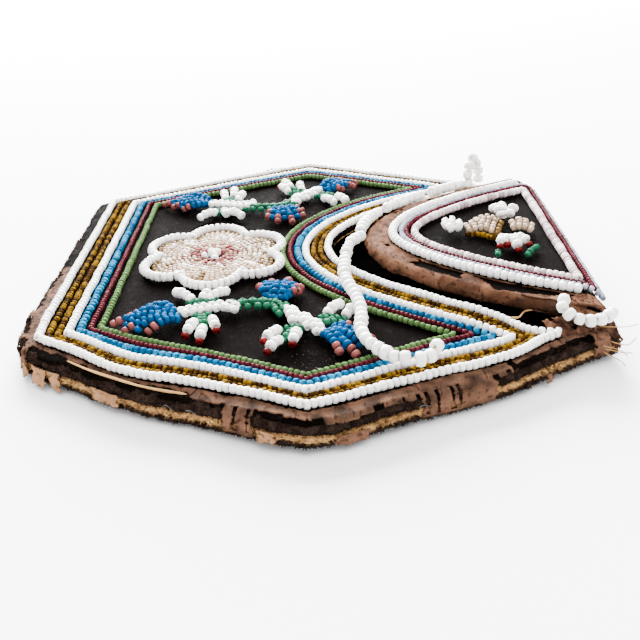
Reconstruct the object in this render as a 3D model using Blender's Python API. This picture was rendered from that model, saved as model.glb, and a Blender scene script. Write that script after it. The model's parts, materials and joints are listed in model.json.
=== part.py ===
"""Flat six-sided beaded purse with a folded triangular flap, lying on its back.

Sizes are in millimetres. X runs from the closed left edge to the hinge edge at the right,
Y runs from the near corner to the far corner, and Z is up from the surface the purse lies on.
The outline is the same on both sides of the plane Y = 0.
"""
import math

import bpy
import bmesh
from mathutils import Vector

MM = 0.001

# Clearance between pieces that lie on each other
GAP = 0.3

# Six-sided outline of the cloth
LEFT_REACH = 67.0
LEFT_HALF = 48.0
PEAK_HALF = 82.0
HINGE_REACH = 71.0
HINGE_HALF = 46.5

# Mouth cut out of the front: x = apex + sweep * y squared
MOUTH_APEX = 6.8
MOUTH_SWEEP = 0.0242

# Flap outline: x = tip + sweep * y squared, up to the fold, which runs down to the hinge edge
FLAP_TIP = 17.0
FLAP_SWEEP = 0.0235
FOLD_RUN = 7.0
FLAP_FOOT_HALF = 46.0

# Cloth thicknesses
CLOTH = 1.0
STIFFENER = 0.5
LINING = 0.25
SEAM_ROLL = 1.8
SEAM_ROLL_WIDTH = 3.2
EDGE_ROUND = 0.5

# Insets of the inner layers from the outline
STIFFENER_INSET = 0.6
SEAM_ROLL_INSET = 0.4
LINING_INSET = 5.0
HINGE_ALLOWANCE = 4.5
MOUTH_STIFFENER_INSET = 0.6
MOUTH_LINING_INSET = 1.0

# Heights
LIFT = 1.6
DISH_REACH = 20.0
DOME = 1.8
DOME_REACH = 38.0
LIP = 1.0
LIP_REACH = 16.0
FLAP_RISE = 4.8

# Bead sizes, which are the widths of the rows
WHITE_BEAD = 2.0
AMBER_BEAD = 1.5
BLUE_BEAD = 1.9
BURGUNDY_BEAD = 1.1
GREEN_BEAD = 1.6
FLAP_WHITE_BEAD = 2.8
PALE_BEAD = 1.1
FLAP_INNER_BEAD = 2.8
ROW_HEIGHT = 1.4

# Places of the border rows on the front: first margin, then the space between neighbours
SLANT_MARGIN = 4.9
SLANT_SPACE = 0.3
LEFT_MARGIN = 5.0
LEFT_SPACE = 0.78
MOUTH_MARGIN = 1.2
MOUTH_SPACE = 0.22

# Places of the rows on the flap
FLAP_MARGIN = 6.2
FLAP_SPACE = 0.3
FLAP_HINGE_MARGIN = 2.0

# Faces across a panel, fewer in the layers below it
CLOTH_COLUMNS = 8
HIDDEN_COLUMNS = 6

# Spacing of the points along a row
ROW_STEP = 9.0
FOLD_POINT_STEP = 1.4

# Ribbon binding
RIBBON = 0.35
RIBBON_TOP = 3.2
RIBBON_UNDER = 3.0
FLAP_RIBBON_TOP = 4.2
FLAP_RIBBON_UNDER = 3.0
RIBBON_ROOM = 0.35
RIBBON_STEP = 8.0

# Rosette
ROSETTE_LOBES = 6
ROSETTE_RIM = 2.4
ROSETTE_CENTRE = 3.4
LOBE_POINTS = 6

# Axis that the two flower branches mirror about
MOTIF_AXIS = -0.5

# Stems and petals of a branch
STEM_WIDTH = 2.6
WHITE_STEM_WIDTH = 2.0
PETAL_HALF = 1.15
BUD_TIP_HALF = 0.9
SPRIG_CORE = 1.5
PAD_HEIGHT = 1.6
PAD_BEVEL = 0.35

# Leaf pair beside the mouth: parameter along the mouth's edge, and distance of its tip from the rows
LEAF_ALONG = 22.9
LEAF_CLEARANCE = 1.4

# Large beads of the loose strings
STRING_BEAD = 3.2
STRING_NECK = 1.9
STRING_PITCH = 2.7
LOOP_FROM_FOLD = 14.0
STRING_SIDES = 6


def side_through(start, end):
    """A straight side as its outward normal (a, b) and offset c, for the half with y above 0."""
    run_x = end[0] - start[0]
    run_y = end[1] - start[1]
    length = math.hypot(run_x, run_y)
    a = -run_y / length
    b = run_x / length
    return a, b, a * start[0] + b * start[1]


LEFT_SIDE = (-1.0, 0.0, LEFT_REACH)
HINGE_SIDE = (1.0, 0.0, HINGE_REACH)
SLANT_LEFT = side_through((-LEFT_REACH, LEFT_HALF), (0.0, PEAK_HALF))
SLANT_RIGHT = side_through((0.0, PEAK_HALF), (HINGE_REACH, HINGE_HALF))


def inset_of(side, x, y):
    """How far a point lies inside a side."""
    return side[2] - side[0] * x - side[1] * abs(y)


def crossing(first, first_inset, second, second_inset):
    """Where two inset sides meet, on the half with y above 0."""
    c_first = first[2] - first_inset
    c_second = second[2] - second_inset
    det = first[0] * second[1] - second[0] * first[1]
    x = (c_first * second[1] - c_second * first[1]) / det
    y = (first[0] * c_second - second[0] * c_first) / det
    return x, y


def soft_min(values):
    """A smooth least value, so that surfaces have no crease."""
    return sum(max(value, 0.01) ** -4 for value in values) ** -0.25


def eased(share):
    """Rises from 0 to 1, flat at both ends."""
    share = min(max(share, 0.0), 1.0)
    return share * share * (3.0 - 2.0 * share)


def seam_distance(x, y):
    """Distance to the three sewn sides of a half."""
    return soft_min([inset_of(side, x, y) for side in (LEFT_SIDE, SLANT_LEFT, SLANT_RIGHT)])


def rim_distance(x, y):
    """Distance to the whole rim of the back."""
    return soft_min([inset_of(side, x, y) for side in (LEFT_SIDE, SLANT_LEFT, SLANT_RIGHT, HINGE_SIDE)])


def mouth_distance(x, y):
    """Distance to the mouth's edge, on the side of the front panel."""
    slope = 2.0 * MOUTH_SWEEP * y
    return (MOUTH_APEX + MOUTH_SWEEP * y * y - x) / math.hypot(1.0, slope)


# Levels that follow from the layers at the rim
BACK_RIM_TOP = LIFT + CLOTH
ROLL_BOTTOM = BACK_RIM_TOP + GAP + STIFFENER + GAP
RIM_TOP = ROLL_BOTTOM + SEAM_ROLL + GAP + STIFFENER + GAP + CLOTH
FLAP_TOP = RIM_TOP + FLAP_RISE
FOLD_FOOT = BACK_RIM_TOP + GAP
FOLD_START = HINGE_REACH - FOLD_RUN


def back_bottom(x, y):
    return LIFT * (1.0 - min(rim_distance(x, y) / DISH_REACH, 1.0)) ** 2


def back_top(x, y):
    return back_bottom(x, y) + CLOTH


def back_stiffener_bottom(x, y):
    return back_top(x, y) + GAP


def back_stiffener_top(x, y):
    return back_stiffener_bottom(x, y) + STIFFENER


def back_lining_bottom(x, y):
    return back_stiffener_top(x, y) + GAP


def back_lining_top(x, y):
    return back_lining_bottom(x, y) + LINING


def front_top(x, y):
    dome = eased(seam_distance(x, y) / DOME_REACH)
    lip = (1.0 - min(max(mouth_distance(x, y), 0.0) / LIP_REACH, 1.0)) ** 2
    return RIM_TOP + (DOME + LIP * lip) * dome


def front_bottom(x, y):
    return front_top(x, y) - CLOTH


def front_stiffener_top(x, y):
    return front_bottom(x, y) - GAP


def front_stiffener_bottom(x, y):
    return front_stiffener_top(x, y) - STIFFENER


def front_lining_top(x, y):
    return front_stiffener_bottom(x, y) - GAP


def front_lining_bottom(x, y):
    return front_lining_top(x, y) - LINING


def flap_surface(x, y):
    """Top of the flap: level, then down over the fold to the back's hinge edge."""
    over = min(max((x - FOLD_START) / FOLD_RUN, 0.0), 1.0)
    return FOLD_FOOT + (FLAP_TOP - FOLD_FOOT) * math.sqrt(1.0 - over * over)


# The field inside the border rows. The flowers are drawn for a field 46.7 mm to the left and
# 62.6 mm to its peak, and stretch with the real one.
ROWS_WIDTH = 2.0 * WHITE_BEAD + 2.0 * AMBER_BEAD + BLUE_BEAD + BURGUNDY_BEAD + GREEN_BEAD
SLANT_BORDER = SLANT_MARGIN - WHITE_BEAD / 2.0 + ROWS_WIDTH + 6.0 * SLANT_SPACE
LEFT_BORDER = LEFT_MARGIN - WHITE_BEAD / 2.0 + ROWS_WIDTH + 6.0 * LEFT_SPACE
MOUTH_BORDER = MOUTH_MARGIN - WHITE_BEAD / 2.0 + ROWS_WIDTH + 6.0 * MOUTH_SPACE
FIELD_LEFT = LEFT_REACH - LEFT_BORDER


def field_half(x):
    """Half height of the field at x."""
    a, b, c = SLANT_LEFT if x < 0.0 else SLANT_RIGHT
    return (c - SLANT_BORDER - a * x) / b


FLOWER_SCALE = min(FIELD_LEFT / 46.7, field_half(0.0) / 62.6)
FLAP_SCALE = (FOLD_START - FLAP_TIP) / 47.0


def stretched(x, y):
    """Where a drawn point of the front's flowers goes."""
    new_x = x * FIELD_LEFT / 46.7
    return new_x, y * field_half(new_x) / (62.6 - 0.505 * abs(x))


ROSETTE = stretched(-25.2, -1.5)
ROSETTE_OUT = 19.4 * FLOWER_SCALE
ROSETTE_IN = 15.2 * FLOWER_SCALE


# Outlines

def left_limit(y, inset):
    a, b, c = SLANT_LEFT
    return max(inset - LEFT_REACH, (b * abs(y) - c + inset) / -a)


def slant_right_limit(y, inset):
    a, b, c = SLANT_RIGHT
    return (c - inset - b * abs(y)) / a


def mouth_point(y, inset):
    """A point of the mouth's edge, moved into the front panel."""
    slope = 2.0 * MOUTH_SWEEP * y
    along = math.hypot(1.0, slope)
    return MOUTH_APEX + MOUTH_SWEEP * y * y - inset / along, y + inset * slope / along


def mouth_end(mouth_inset, slant_inset):
    """Mouth parameter at which the inset mouth meets the inset right slant."""
    low = 0.0
    high = PEAK_HALF
    for _ in range(50):
        middle = (low + high) / 2.0
        if inset_of(SLANT_RIGHT, *mouth_point(middle, mouth_inset)) > slant_inset:
            low = middle
        else:
            high = middle
    return low


def mouth_limit(y, inset):
    """X of the inset mouth at a height y, found along its exact offset curve."""
    low = 0.0
    high = abs(y)
    for _ in range(50):
        middle = (low + high) / 2.0
        if mouth_point(middle, inset)[1] < abs(y):
            low = middle
        else:
            high = middle
    return mouth_point(low, inset)[0]


def heights(keys, counts):
    """Y stations from the near peak to the far peak through the key heights."""
    half = [0.0]
    for low, high, count in zip([0.0] + keys[:-1], keys, counts):
        half += [low + (high - low) * k / count for k in range(1, count + 1)]
    return [-y for y in reversed(half[1:])] + half


def outline_rows(inset, open_mouth, hinge_inset=0.0, mouth_inset=0.0, columns=CLOTH_COLUMNS):
    """Rows of points over a whole panel, one row for each y, ending in a point at both peaks."""
    peak_x, peak_y = crossing(SLANT_LEFT, inset, SLANT_RIGHT, inset)
    left_corner = crossing(LEFT_SIDE, inset, SLANT_LEFT, inset)[1]
    if open_mouth:
        right_corner = mouth_point(mouth_end(mouth_inset, inset), mouth_inset)[1]
    else:
        right_corner = crossing(HINGE_SIDE, hinge_inset, SLANT_RIGHT, inset)[1]
    keys = sorted([left_corner, right_corner]) + [peak_y]
    rows = []
    for y in heights(keys, (6, 1, 4)):
        if abs(y) > peak_y - 1e-6:
            rows.append([(peak_x, y)])
            continue
        left = left_limit(y, inset)
        right = slant_right_limit(y, inset)
        if open_mouth and abs(y) < right_corner:
            right = mouth_limit(y, mouth_inset)
        if not open_mouth:
            right = min(right, HINGE_REACH - hinge_inset)
        shares = [(1.0 - math.cos(math.pi * k / columns)) / 2.0 for k in range(columns + 1)]
        rows.append([(left + (right - left) * share, y) for share in shares])
    return rows


def border(rows):
    """Items round a set of rows whose first and last rows may be single points."""
    loop = list(rows[0])
    loop += [row[-1] for row in rows[1:-1]]
    loop += list(reversed(rows[-1]))
    loop += [row[0] for row in reversed(rows[1:-1])]
    return loop


# Mesh building

def colour_material(name, colour, roughness=0.7, metallic=0.0):
    material = bpy.data.materials.new(name)
    material.use_nodes = True
    shader = material.node_tree.nodes["Principled BSDF"]
    shader.inputs["Base Color"].default_value = (*colour, 1.0)
    shader.inputs["Roughness"].default_value = roughness
    shader.inputs["Metallic"].default_value = metallic
    material.diffuse_color = (*colour, 1.0)
    return material


def finish_object(bm, name, material, smooth=True):
    bmesh.ops.recalc_face_normals(bm, faces=bm.faces)
    mesh = bpy.data.meshes.new(name)
    bm.to_mesh(mesh)
    bm.free()
    mesh.materials.append(material)
    if smooth:
        mesh.shade_smooth()
        mesh.set_sharp_from_angle(angle=math.radians(40.0))
    item = bpy.data.objects.new(name, mesh)
    bpy.context.scene.collection.objects.link(item)
    return item


def skin_rows(bm, rows):
    """Faces between neighbouring rows, where an end row may be a single vertex."""
    for low, high in zip(rows, rows[1:]):
        if len(low) == 1:
            low = low * len(high)
        if len(high) == 1:
            high = high * len(low)
        for k in range(len(low) - 1):
            corners = [low[k], low[k + 1], high[k + 1], high[k]]
            kept = []
            for corner in corners:
                if corner not in kept:
                    kept.append(corner)
            bm.faces.new(kept)


def skin_loops(bm, loops, closed=True):
    """Faces between neighbouring loops of as many vertices each."""
    for low, high in zip(loops, loops[1:]):
        count = len(low) if closed else len(low) - 1
        for k in range(count):
            after = (k + 1) % len(low)
            bm.faces.new((low[k], low[after], high[after], high[k]))


def place(bm, x, y, z):
    return bm.verts.new((x * MM, y * MM, z * MM))


def panel(name, material, top, bottom, rows, rim_rows=None):
    """A sheet between two height functions. rim_rows push the middle of its edge outwards."""
    bm = bmesh.new()
    upper = [[place(bm, x, y, top(x, y)) for x, y in row] for row in rows]
    lower = [[place(bm, x, y, bottom(x, y)) for x, y in row] for row in rows]
    skin_rows(bm, upper)
    skin_rows(bm, lower)
    loops = [border(upper), border(lower)]
    if rim_rows:
        rim = [place(bm, x, y, (top(x, y) + bottom(x, y)) / 2.0) for x, y in border(rim_rows)]
        loops.insert(1, rim)
    skin_loops(bm, loops)
    return finish_object(bm, name, material)


def along_leg(start, end, step):
    """Points of a straight leg without its end, evenly spaced."""
    length = math.hypot(end[0] - start[0], end[1] - start[1])
    count = max(1, math.ceil(length / step))
    return [(start[0] + (end[0] - start[0]) * k / count,
             start[1] + (end[1] - start[1]) * k / count) for k in range(count)]


def walked(points, step, closed):
    """A path through corner points with points added along its legs."""
    path = []
    ends = points[1:] + (points[:1] if closed else [])
    for start, end in zip(points, ends):
        path += along_leg(start, end, step)
    if not closed:
        path.append(points[-1])
    return path


def mitres(path, closed):
    """Sideways vector at each point of a path, long enough to keep its width at corners."""
    result = []
    count = len(path)
    for k, here in enumerate(path):
        before = path[k - 1] if closed or k else here
        after = path[(k + 1) % count] if closed or k + 1 < count else here
        first = Vector((here[0] - before[0], here[1] - before[1]))
        second = Vector((after[0] - here[0], after[1] - here[1]))
        first = first.normalized() if first.length > 1e-9 else second.normalized()
        second = second.normalized() if second.length > 1e-9 else first
        tangent = (first + second).normalized()
        spread = max(tangent.dot(second), 0.35)
        result.append(Vector((-tangent.y, tangent.x)) / spread)
    return result


def ridge(name, material, path, width, surface, closed, height=ROW_HEIGHT):
    """A sewn row of beads: a low bar that follows a surface along a path."""
    bm = bmesh.new()
    corners = ((-0.5, 0.0), (-0.34, height), (0.34, height), (0.5, 0.0))
    sections = []
    for (x, y), side in zip(path, mitres(path, closed)):
        section = []
        for share, up in corners:
            px = x + side.x * share * width
            py = y + side.y * share * width
            section.append(place(bm, px, py, surface(px, py) + GAP + up))
        sections.append(section)
    if closed:
        sections.append(sections[0])
    skin_loops(bm, sections)
    if not closed:
        bm.faces.new(sections[0])
        bm.faces.new(sections[-1])
    return finish_object(bm, name, material)


def star_outline(centre, core, tips, half_width):
    """Polar outline round a centre: a round core with a blunt petal towards each tip."""
    petals = []
    for tip in tips:
        reach = math.hypot(tip[0] - centre[0], tip[1] - centre[1])
        petals.append((math.atan2(tip[1] - centre[1], tip[0] - centre[0]), reach))

    def reach_at(angle):
        best = core
        for direction, reach in petals:
            off = abs((angle - direction + math.pi) % math.tau - math.pi)
            if off < math.pi / 2.0:
                best = max(best, min(reach, half_width / max(math.sin(off), 1e-6)))
        return best

    angles = []
    for direction, reach in petals:
        blunt = math.atan2(half_width, reach)
        root = math.asin(min(half_width / core, 0.95))
        angles += [direction, direction - blunt, direction + blunt, direction - root, direction + root]
    angles += [math.tau * k / 8 for k in range(8)]
    ordered = []
    for angle in sorted(value % math.tau for value in angles):
        if not ordered or angle - ordered[-1] > 0.06:
            ordered.append(angle)
    return [(angle, reach_at(angle)) for angle in ordered]


def polar(centre, angle, reach):
    return centre[0] + math.cos(angle) * reach, centre[1] + math.sin(angle) * reach


def pad(name, material, centre, outline, surface, rings=(1.0,), hole=0.0):
    """A patch of beadwork whose outline is polar round a centre, with an optional round hole."""
    bm = bmesh.new()

    def ring(shrink, share, up):
        verts = []
        for angle, reach in outline:
            outer = reach - shrink
            x, y = polar(centre, angle, hole + (outer - hole) * share)
            verts.append(place(bm, x, y, surface(x, y) + GAP + up))
        return verts

    below = [ring(0.0, share, 0.0) for share in rings]
    above = [ring(PAD_BEVEL, share, PAD_HEIGHT) for share in rings]
    skin_loops(bm, below)
    skin_loops(bm, above)
    skin_loops(bm, [below[0], above[0]])
    if hole:
        skin_loops(bm, [below[-1], above[-1]])
    else:
        x, y = centre
        for loop, up in ((below[-1], 0.0), (above[-1], PAD_HEIGHT)):
            middle = place(bm, x, y, surface(x, y) + GAP + up)
            for k, vert in enumerate(loop):
                bm.faces.new((vert, loop[(k + 1) % len(loop)], middle))
    return finish_object(bm, name, material)


def bead_string(name, material, points):
    """Large beads on a thread, as one body whose radius swells at each bead."""
    swell = STRING_BEAD / 2.0
    route = [Vector(point) for point in points]
    lengths = [0.0]
    for start, end in zip(route, route[1:]):
        lengths.append(lengths[-1] + (end - start).length)
    count = max(2, round(lengths[-1] / STRING_PITCH))

    def at(distance):
        for k in range(len(route) - 1):
            if distance <= lengths[k + 1] + 1e-9:
                share = (distance - lengths[k]) / (lengths[k + 1] - lengths[k])
                return route[k].lerp(route[k + 1], min(max(share, 0.0), 1.0))
        return route[-1]

    bm = bmesh.new()
    stations = []
    for k in range(count):
        for share, radius in ((0.0, STRING_NECK / 2.0), (0.5, swell)):
            stations.append(((k + share) / count * lengths[-1], radius))
    stations.append((lengths[-1], STRING_NECK / 2.0))
    sections = []
    for distance, radius in stations:
        here = at(distance)
        tangent = (at(distance + 0.8) - at(max(distance - 0.8, 0.0))).normalized()
        across = tangent.cross(Vector((0.0, 0.0, 1.0)))
        if across.length < 0.2:
            across = tangent.cross(Vector((0.0, 1.0, 0.0)))
        across.normalize()
        over = across.cross(tangent)
        section = []
        for k in range(STRING_SIDES):
            angle = math.tau * k / STRING_SIDES
            spot = here + (across * math.cos(angle) + over * math.sin(angle)) * radius
            section.append(place(bm, *spot))
        sections.append(section)
    skin_loops(bm, sections)
    bm.faces.new(sections[0])
    bm.faces.new(sections[-1])
    return finish_object(bm, name, material)


def smooth_route(points, per):
    """A smooth curve through hand-chosen points."""
    route = [Vector(point) for point in points]
    padded = [route[0] * 2.0 - route[1]] + route + [route[-1] * 2.0 - route[-2]]
    curve = []
    for p0, p1, p2, p3 in zip(padded, padded[1:], padded[2:], padded[3:]):
        for k in range(per):
            t = k / per
            curve.append(0.5 * (2.0 * p1 + (p2 - p0) * t
                                + (2.0 * p0 - 5.0 * p1 + 4.0 * p2 - p3) * t * t
                                + (3.0 * p1 - p0 - 3.0 * p2 + p3) * t ** 3))
    curve.append(route[-1])
    return curve


# The three cloth layers of the back and of the front

def build_back(cloth, stiffener, lining):
    rows = outline_rows(EDGE_ROUND, False, hinge_inset=EDGE_ROUND)
    panel("back_panel", cloth, back_top, back_bottom, rows, outline_rows(0.0, False))
    rows = outline_rows(STIFFENER_INSET, False, HINGE_ALLOWANCE, columns=HIDDEN_COLUMNS)
    panel("back_interlining", stiffener, back_stiffener_top, back_stiffener_bottom, rows)
    rows = outline_rows(LINING_INSET, False, HINGE_ALLOWANCE + GAP, columns=HIDDEN_COLUMNS)
    panel("back_lining", lining, back_lining_top, back_lining_bottom, rows)


def build_front(cloth, stiffener, lining):
    rows = outline_rows(EDGE_ROUND, True, mouth_inset=EDGE_ROUND / 2.0)
    panel("front_panel", cloth, front_top, front_bottom, rows, outline_rows(0.0, True))
    rows = outline_rows(STIFFENER_INSET, True, 0.0, MOUTH_STIFFENER_INSET, HIDDEN_COLUMNS)
    panel("front_interlining", stiffener, front_stiffener_top, front_stiffener_bottom, rows)
    rows = outline_rows(LINING_INSET, True, 0.0, MOUTH_LINING_INSET, HIDDEN_COLUMNS)
    panel("front_lining", lining, front_lining_top, front_lining_bottom, rows)


def build_seam_roll(cloth):
    """The raw edges rolled into the seam between front and back, open at the mouth."""
    inset = SEAM_ROLL_INSET + SEAM_ROLL_WIDTH / 2.0
    end = mouth_end(MOUTH_STIFFENER_INSET, inset)
    corner = mouth_point(end, MOUTH_STIFFENER_INSET)
    peak = crossing(SLANT_LEFT, inset, SLANT_RIGHT, inset)
    left = crossing(LEFT_SIDE, inset, SLANT_LEFT, inset)
    half = [corner, peak, left]
    path = walked(half + [(x, -y) for x, y in reversed(half)], ROW_STEP, False)
    bm = bmesh.new()
    sections = []
    for (x, y), side in zip(path, mitres(path, False)):
        section = []
        for share, up in ((-0.5, 0.5), (-0.3, 1.0), (0.3, 1.0), (0.5, 0.5), (0.3, 0.0), (-0.3, 0.0)):
            px = x + side.x * share * SEAM_ROLL_WIDTH
            py = y + side.y * share * SEAM_ROLL_WIDTH
            floor = back_stiffener_top(px, py) + GAP
            ceiling = front_stiffener_bottom(px, py) - GAP
            section.append(place(bm, px, py, floor + (ceiling - floor) * up))
        sections.append(section)
    skin_loops(bm, sections)
    bm.faces.new(sections[0])
    bm.faces.new(sections[-1])
    return finish_object(bm, "seam_roll", cloth)


# The flap

def flap_half(x, inset):
    """Half width of the flap at x, inset from its curved sides."""
    low = 0.0
    high = PEAK_HALF
    for _ in range(50):
        middle = (low + high) / 2.0
        slope = 2.0 * FLAP_SWEEP * middle
        along = math.hypot(1.0, slope)
        if FLAP_TIP + FLAP_SWEEP * middle * middle + inset / along < x:
            low = middle
        else:
            high = middle
    slope = 2.0 * FLAP_SWEEP * low
    return max(low - inset * slope / math.hypot(1.0, slope), 0.0)


def flap_sheet(name, material, depth, thickness, inset):
    """One layer of the flap, depth below its top, running over the fold to the hinge edge."""
    flat_count = 11
    fold_count = 6
    columns = CLOTH_COLUMNS
    tip = FLAP_TIP + inset
    stations = []
    for k in range(flat_count):
        share = (k / (flat_count - 1)) ** 1.6
        x = tip + (FOLD_START - tip) * share
        stations.append((x, None, flap_half(x, inset)))
    wide = flap_half(FOLD_START, inset)
    for k in range(1, fold_count + 1):
        turn = math.pi / 2.0 * k / fold_count
        half = wide + (FLAP_FOOT_HALF - inset - wide) * k / fold_count
        stations.append((FOLD_START, turn, half))

    def row(bm, station, down):
        x, turn, half = station
        z = FLAP_TOP - down
        if turn is not None:
            z = FOLD_FOOT + (FLAP_TOP - FOLD_FOOT - down) * math.cos(turn)
            x = FOLD_START + (FOLD_RUN - down) * math.sin(turn)
        if half < 1e-3:
            return [place(bm, x, 0.0, z)]
        return [place(bm, x, -half + 2.0 * half * k / columns, z) for k in range(columns + 1)]

    bm = bmesh.new()
    upper = [row(bm, station, depth) for station in stations]
    lower = [row(bm, station, depth + thickness) for station in stations]
    skin_rows(bm, upper)
    skin_rows(bm, lower)
    skin_loops(bm, [border(upper), border(lower)])
    return finish_object(bm, name, material)


def build_flap(cloth, stiffener, lining):
    flap_sheet("flap_panel", cloth, 0.0, CLOTH, 0.0)
    depth = CLOTH + GAP
    flap_sheet("flap_interlining", stiffener, depth, STIFFENER, STIFFENER_INSET)
    depth += STIFFENER + GAP
    flap_sheet("flap_lining", lining, depth, LINING, MOUTH_LINING_INSET)


# Bead rows

def front_row_path(slant_inset, left_inset, mouth_inset):
    """Closed path parallel to the outline of the front panel."""
    end = mouth_end(mouth_inset, slant_inset)
    count = max(4, math.ceil(end * 1.5 / ROW_STEP))
    mouth = [mouth_point(end * k / count, mouth_inset) for k in range(count + 1)]
    peak = crossing(SLANT_LEFT, slant_inset, SLANT_RIGHT, slant_inset)
    corner = crossing(LEFT_SIDE, left_inset, SLANT_LEFT, slant_inset)
    far = mouth + walked([mouth[-1], peak, corner], ROW_STEP, False)[1:]
    near = [(x, -y) for x, y in reversed(far)]
    left = along_leg(corner, (corner[0], -corner[1]), ROW_STEP)[1:]
    return far + left + near[:-1]


def build_front_rows(beads):
    rows = (("row_white_outer", "white", WHITE_BEAD), ("row_amber_outer", "amber", AMBER_BEAD),
            ("row_amber_inner", "amber", AMBER_BEAD), ("row_white_inner", "white", WHITE_BEAD),
            ("row_blue", "blue", BLUE_BEAD), ("row_burgundy", "burgundy", BURGUNDY_BEAD),
            ("row_green", "green", GREEN_BEAD))
    slant = SLANT_MARGIN
    left = LEFT_MARGIN
    mouth = MOUTH_MARGIN
    before = None
    for name, colour, width in rows:
        if before is not None:
            reach = (before + width) / 2.0
            slant += reach + SLANT_SPACE
            left += reach + LEFT_SPACE
            mouth += reach + MOUTH_SPACE
        ridge(name, beads[colour], front_row_path(slant, left, mouth), width, front_top, True)
        before = width


def flap_side_point(y, inset):
    slope = 2.0 * FLAP_SWEEP * y
    along = math.hypot(1.0, slope)
    return FLAP_TIP + FLAP_SWEEP * y * y + inset / along, y - inset * slope / along


def flap_side_end(inset, last_x):
    """Parameter of the inset side at which it reaches the given x."""
    low = 0.0
    high = PEAK_HALF
    for _ in range(50):
        middle = (low + high) / 2.0
        if flap_side_point(middle, inset)[0] < last_x:
            low = middle
        else:
            high = middle
    return low


def flap_side(inset, last_x):
    """Points of one curved side, from the tip to the given x, closer together over the fold."""
    flat_end = flap_side_end(inset, min(FOLD_START, last_x))
    end = flap_side_end(inset, last_x)
    steps = [flat_end * k / 8 for k in range(9)]
    over = math.ceil((last_x - FOLD_START) / FOLD_POINT_STEP)
    steps += [flat_end + (end - flat_end) * k / over for k in range(1, over + 1)]
    points = [flap_side_point(step, inset) for step in steps]
    return [(points[0][0], 0.0)] + [point for point in points[1:] if point[1] > 0.4]


def build_flap_rows(beads):
    outer = flap_side(FLAP_MARGIN, FOLD_START)
    path = [(x, -y) for x, y in reversed(outer)] + outer[1:]
    ridge("flap_row_white_outer", beads["white"], path, FLAP_WHITE_BEAD, flap_surface, False)
    rows = (("flap_row_pale", "pale", PALE_BEAD), ("flap_row_burgundy", "burgundy", BURGUNDY_BEAD),
            ("flap_row_white_inner", "white", FLAP_INNER_BEAD))
    side_edge = FLAP_MARGIN + FLAP_WHITE_BEAD / 2.0
    hinge_edge = FLAP_HINGE_MARGIN - FLAP_SPACE
    for name, colour, width in rows:
        side = side_edge + FLAP_SPACE + width / 2.0
        hinge = hinge_edge + FLAP_SPACE + width / 2.0
        curve = flap_side(side, HINGE_REACH - hinge)
        across = along_leg(curve[-1], (curve[-1][0], -curve[-1][1]), ROW_STEP)[1:]
        path = curve + across + [(x, -y) for x, y in reversed(curve[1:])]
        ridge(name, beads[colour], path, width, flap_surface, True)
        side_edge = side + width / 2.0
        hinge_edge = hinge + width / 2.0


# Ribbon binding: strips bent round an edge

def ribbon_strip(name, material, path, inward, edge_levels, top, bottom, top_reach, under_reach):
    """A strip round an edge. inward gives the direction into the cloth at each path point."""
    bm = bmesh.new()
    clear = GAP
    shell = GAP + RIBBON
    sections = []
    for (x, y), (nx, ny) in zip(path, inward):
        def at(inset, level):
            return place(bm, x + nx * inset, y + ny * inset, level)

        def over(inset, extra):
            return at(inset, top(x + nx * inset, y + ny * inset) + extra)

        def under(inset, extra):
            return at(inset, bottom(x + nx * inset, y + ny * inset) - extra)

        high, low = edge_levels(x, y)
        sections.append([
            over(top_reach, shell), over(EDGE_ROUND, shell), at(-shell, high + 0.1), at(-shell, low - 0.1),
            under(EDGE_ROUND, shell), under(under_reach, shell), under(under_reach, clear),
            under(EDGE_ROUND, clear), at(-clear, low), at(-clear, high), over(EDGE_ROUND, clear),
            over(top_reach, clear)])
    skin_loops(bm, sections)
    bm.faces.new(sections[0])
    bm.faces.new(sections[-1])
    return finish_object(bm, name, material)


def body_ribbon(name, material, start, end, shares, sign):
    """A patch of ribbon on a straight side of the rim, between two shares of its length."""
    first = Vector(start)
    run = Vector(end) - first
    normal = Vector((-run.y, run.x)).normalized()
    if normal.dot(-first) < 0.0:
        normal = -normal
    length = run.length * (shares[1] - shares[0])
    count = max(2, math.ceil(length / RIBBON_STEP))
    path = []
    for k in range(count + 1):
        spot = first + run * (shares[0] + (shares[1] - shares[0]) * k / count)
        path.append((spot.x, spot.y * sign))
    inward = [(normal.x, normal.y * sign)] * len(path)

    def levels(x, y):
        return RIM_TOP - EDGE_ROUND, LIFT + EDGE_ROUND

    ribbon_strip(name, material, path, inward, levels, front_top, back_bottom, RIBBON_TOP, RIBBON_UNDER)


def flap_ribbon(material):
    """One band round both curved sides of the flap, from fold to fold."""
    side = flap_side(0.0, FOLD_START - 1.0)
    ys = [y for _, y in side]
    full = [-y for y in reversed(ys)] + ys[1:]
    path = []
    inward = []
    for y in full:
        slope = 2.0 * FLAP_SWEEP * y
        along = math.hypot(1.0, slope)
        path.append(flap_side_point(y, 0.0))
        inward.append((1.0 / along, -slope / along))
    underside = FLAP_TOP - CLOTH - GAP - STIFFENER - GAP - LINING

    def levels(x, y):
        return FLAP_TOP, underside

    def lower(x, y):
        return underside

    ribbon_strip("flap_ribbon", material, path, inward, levels, flap_surface, lower,
                 FLAP_RIBBON_TOP, FLAP_RIBBON_UNDER)


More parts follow.
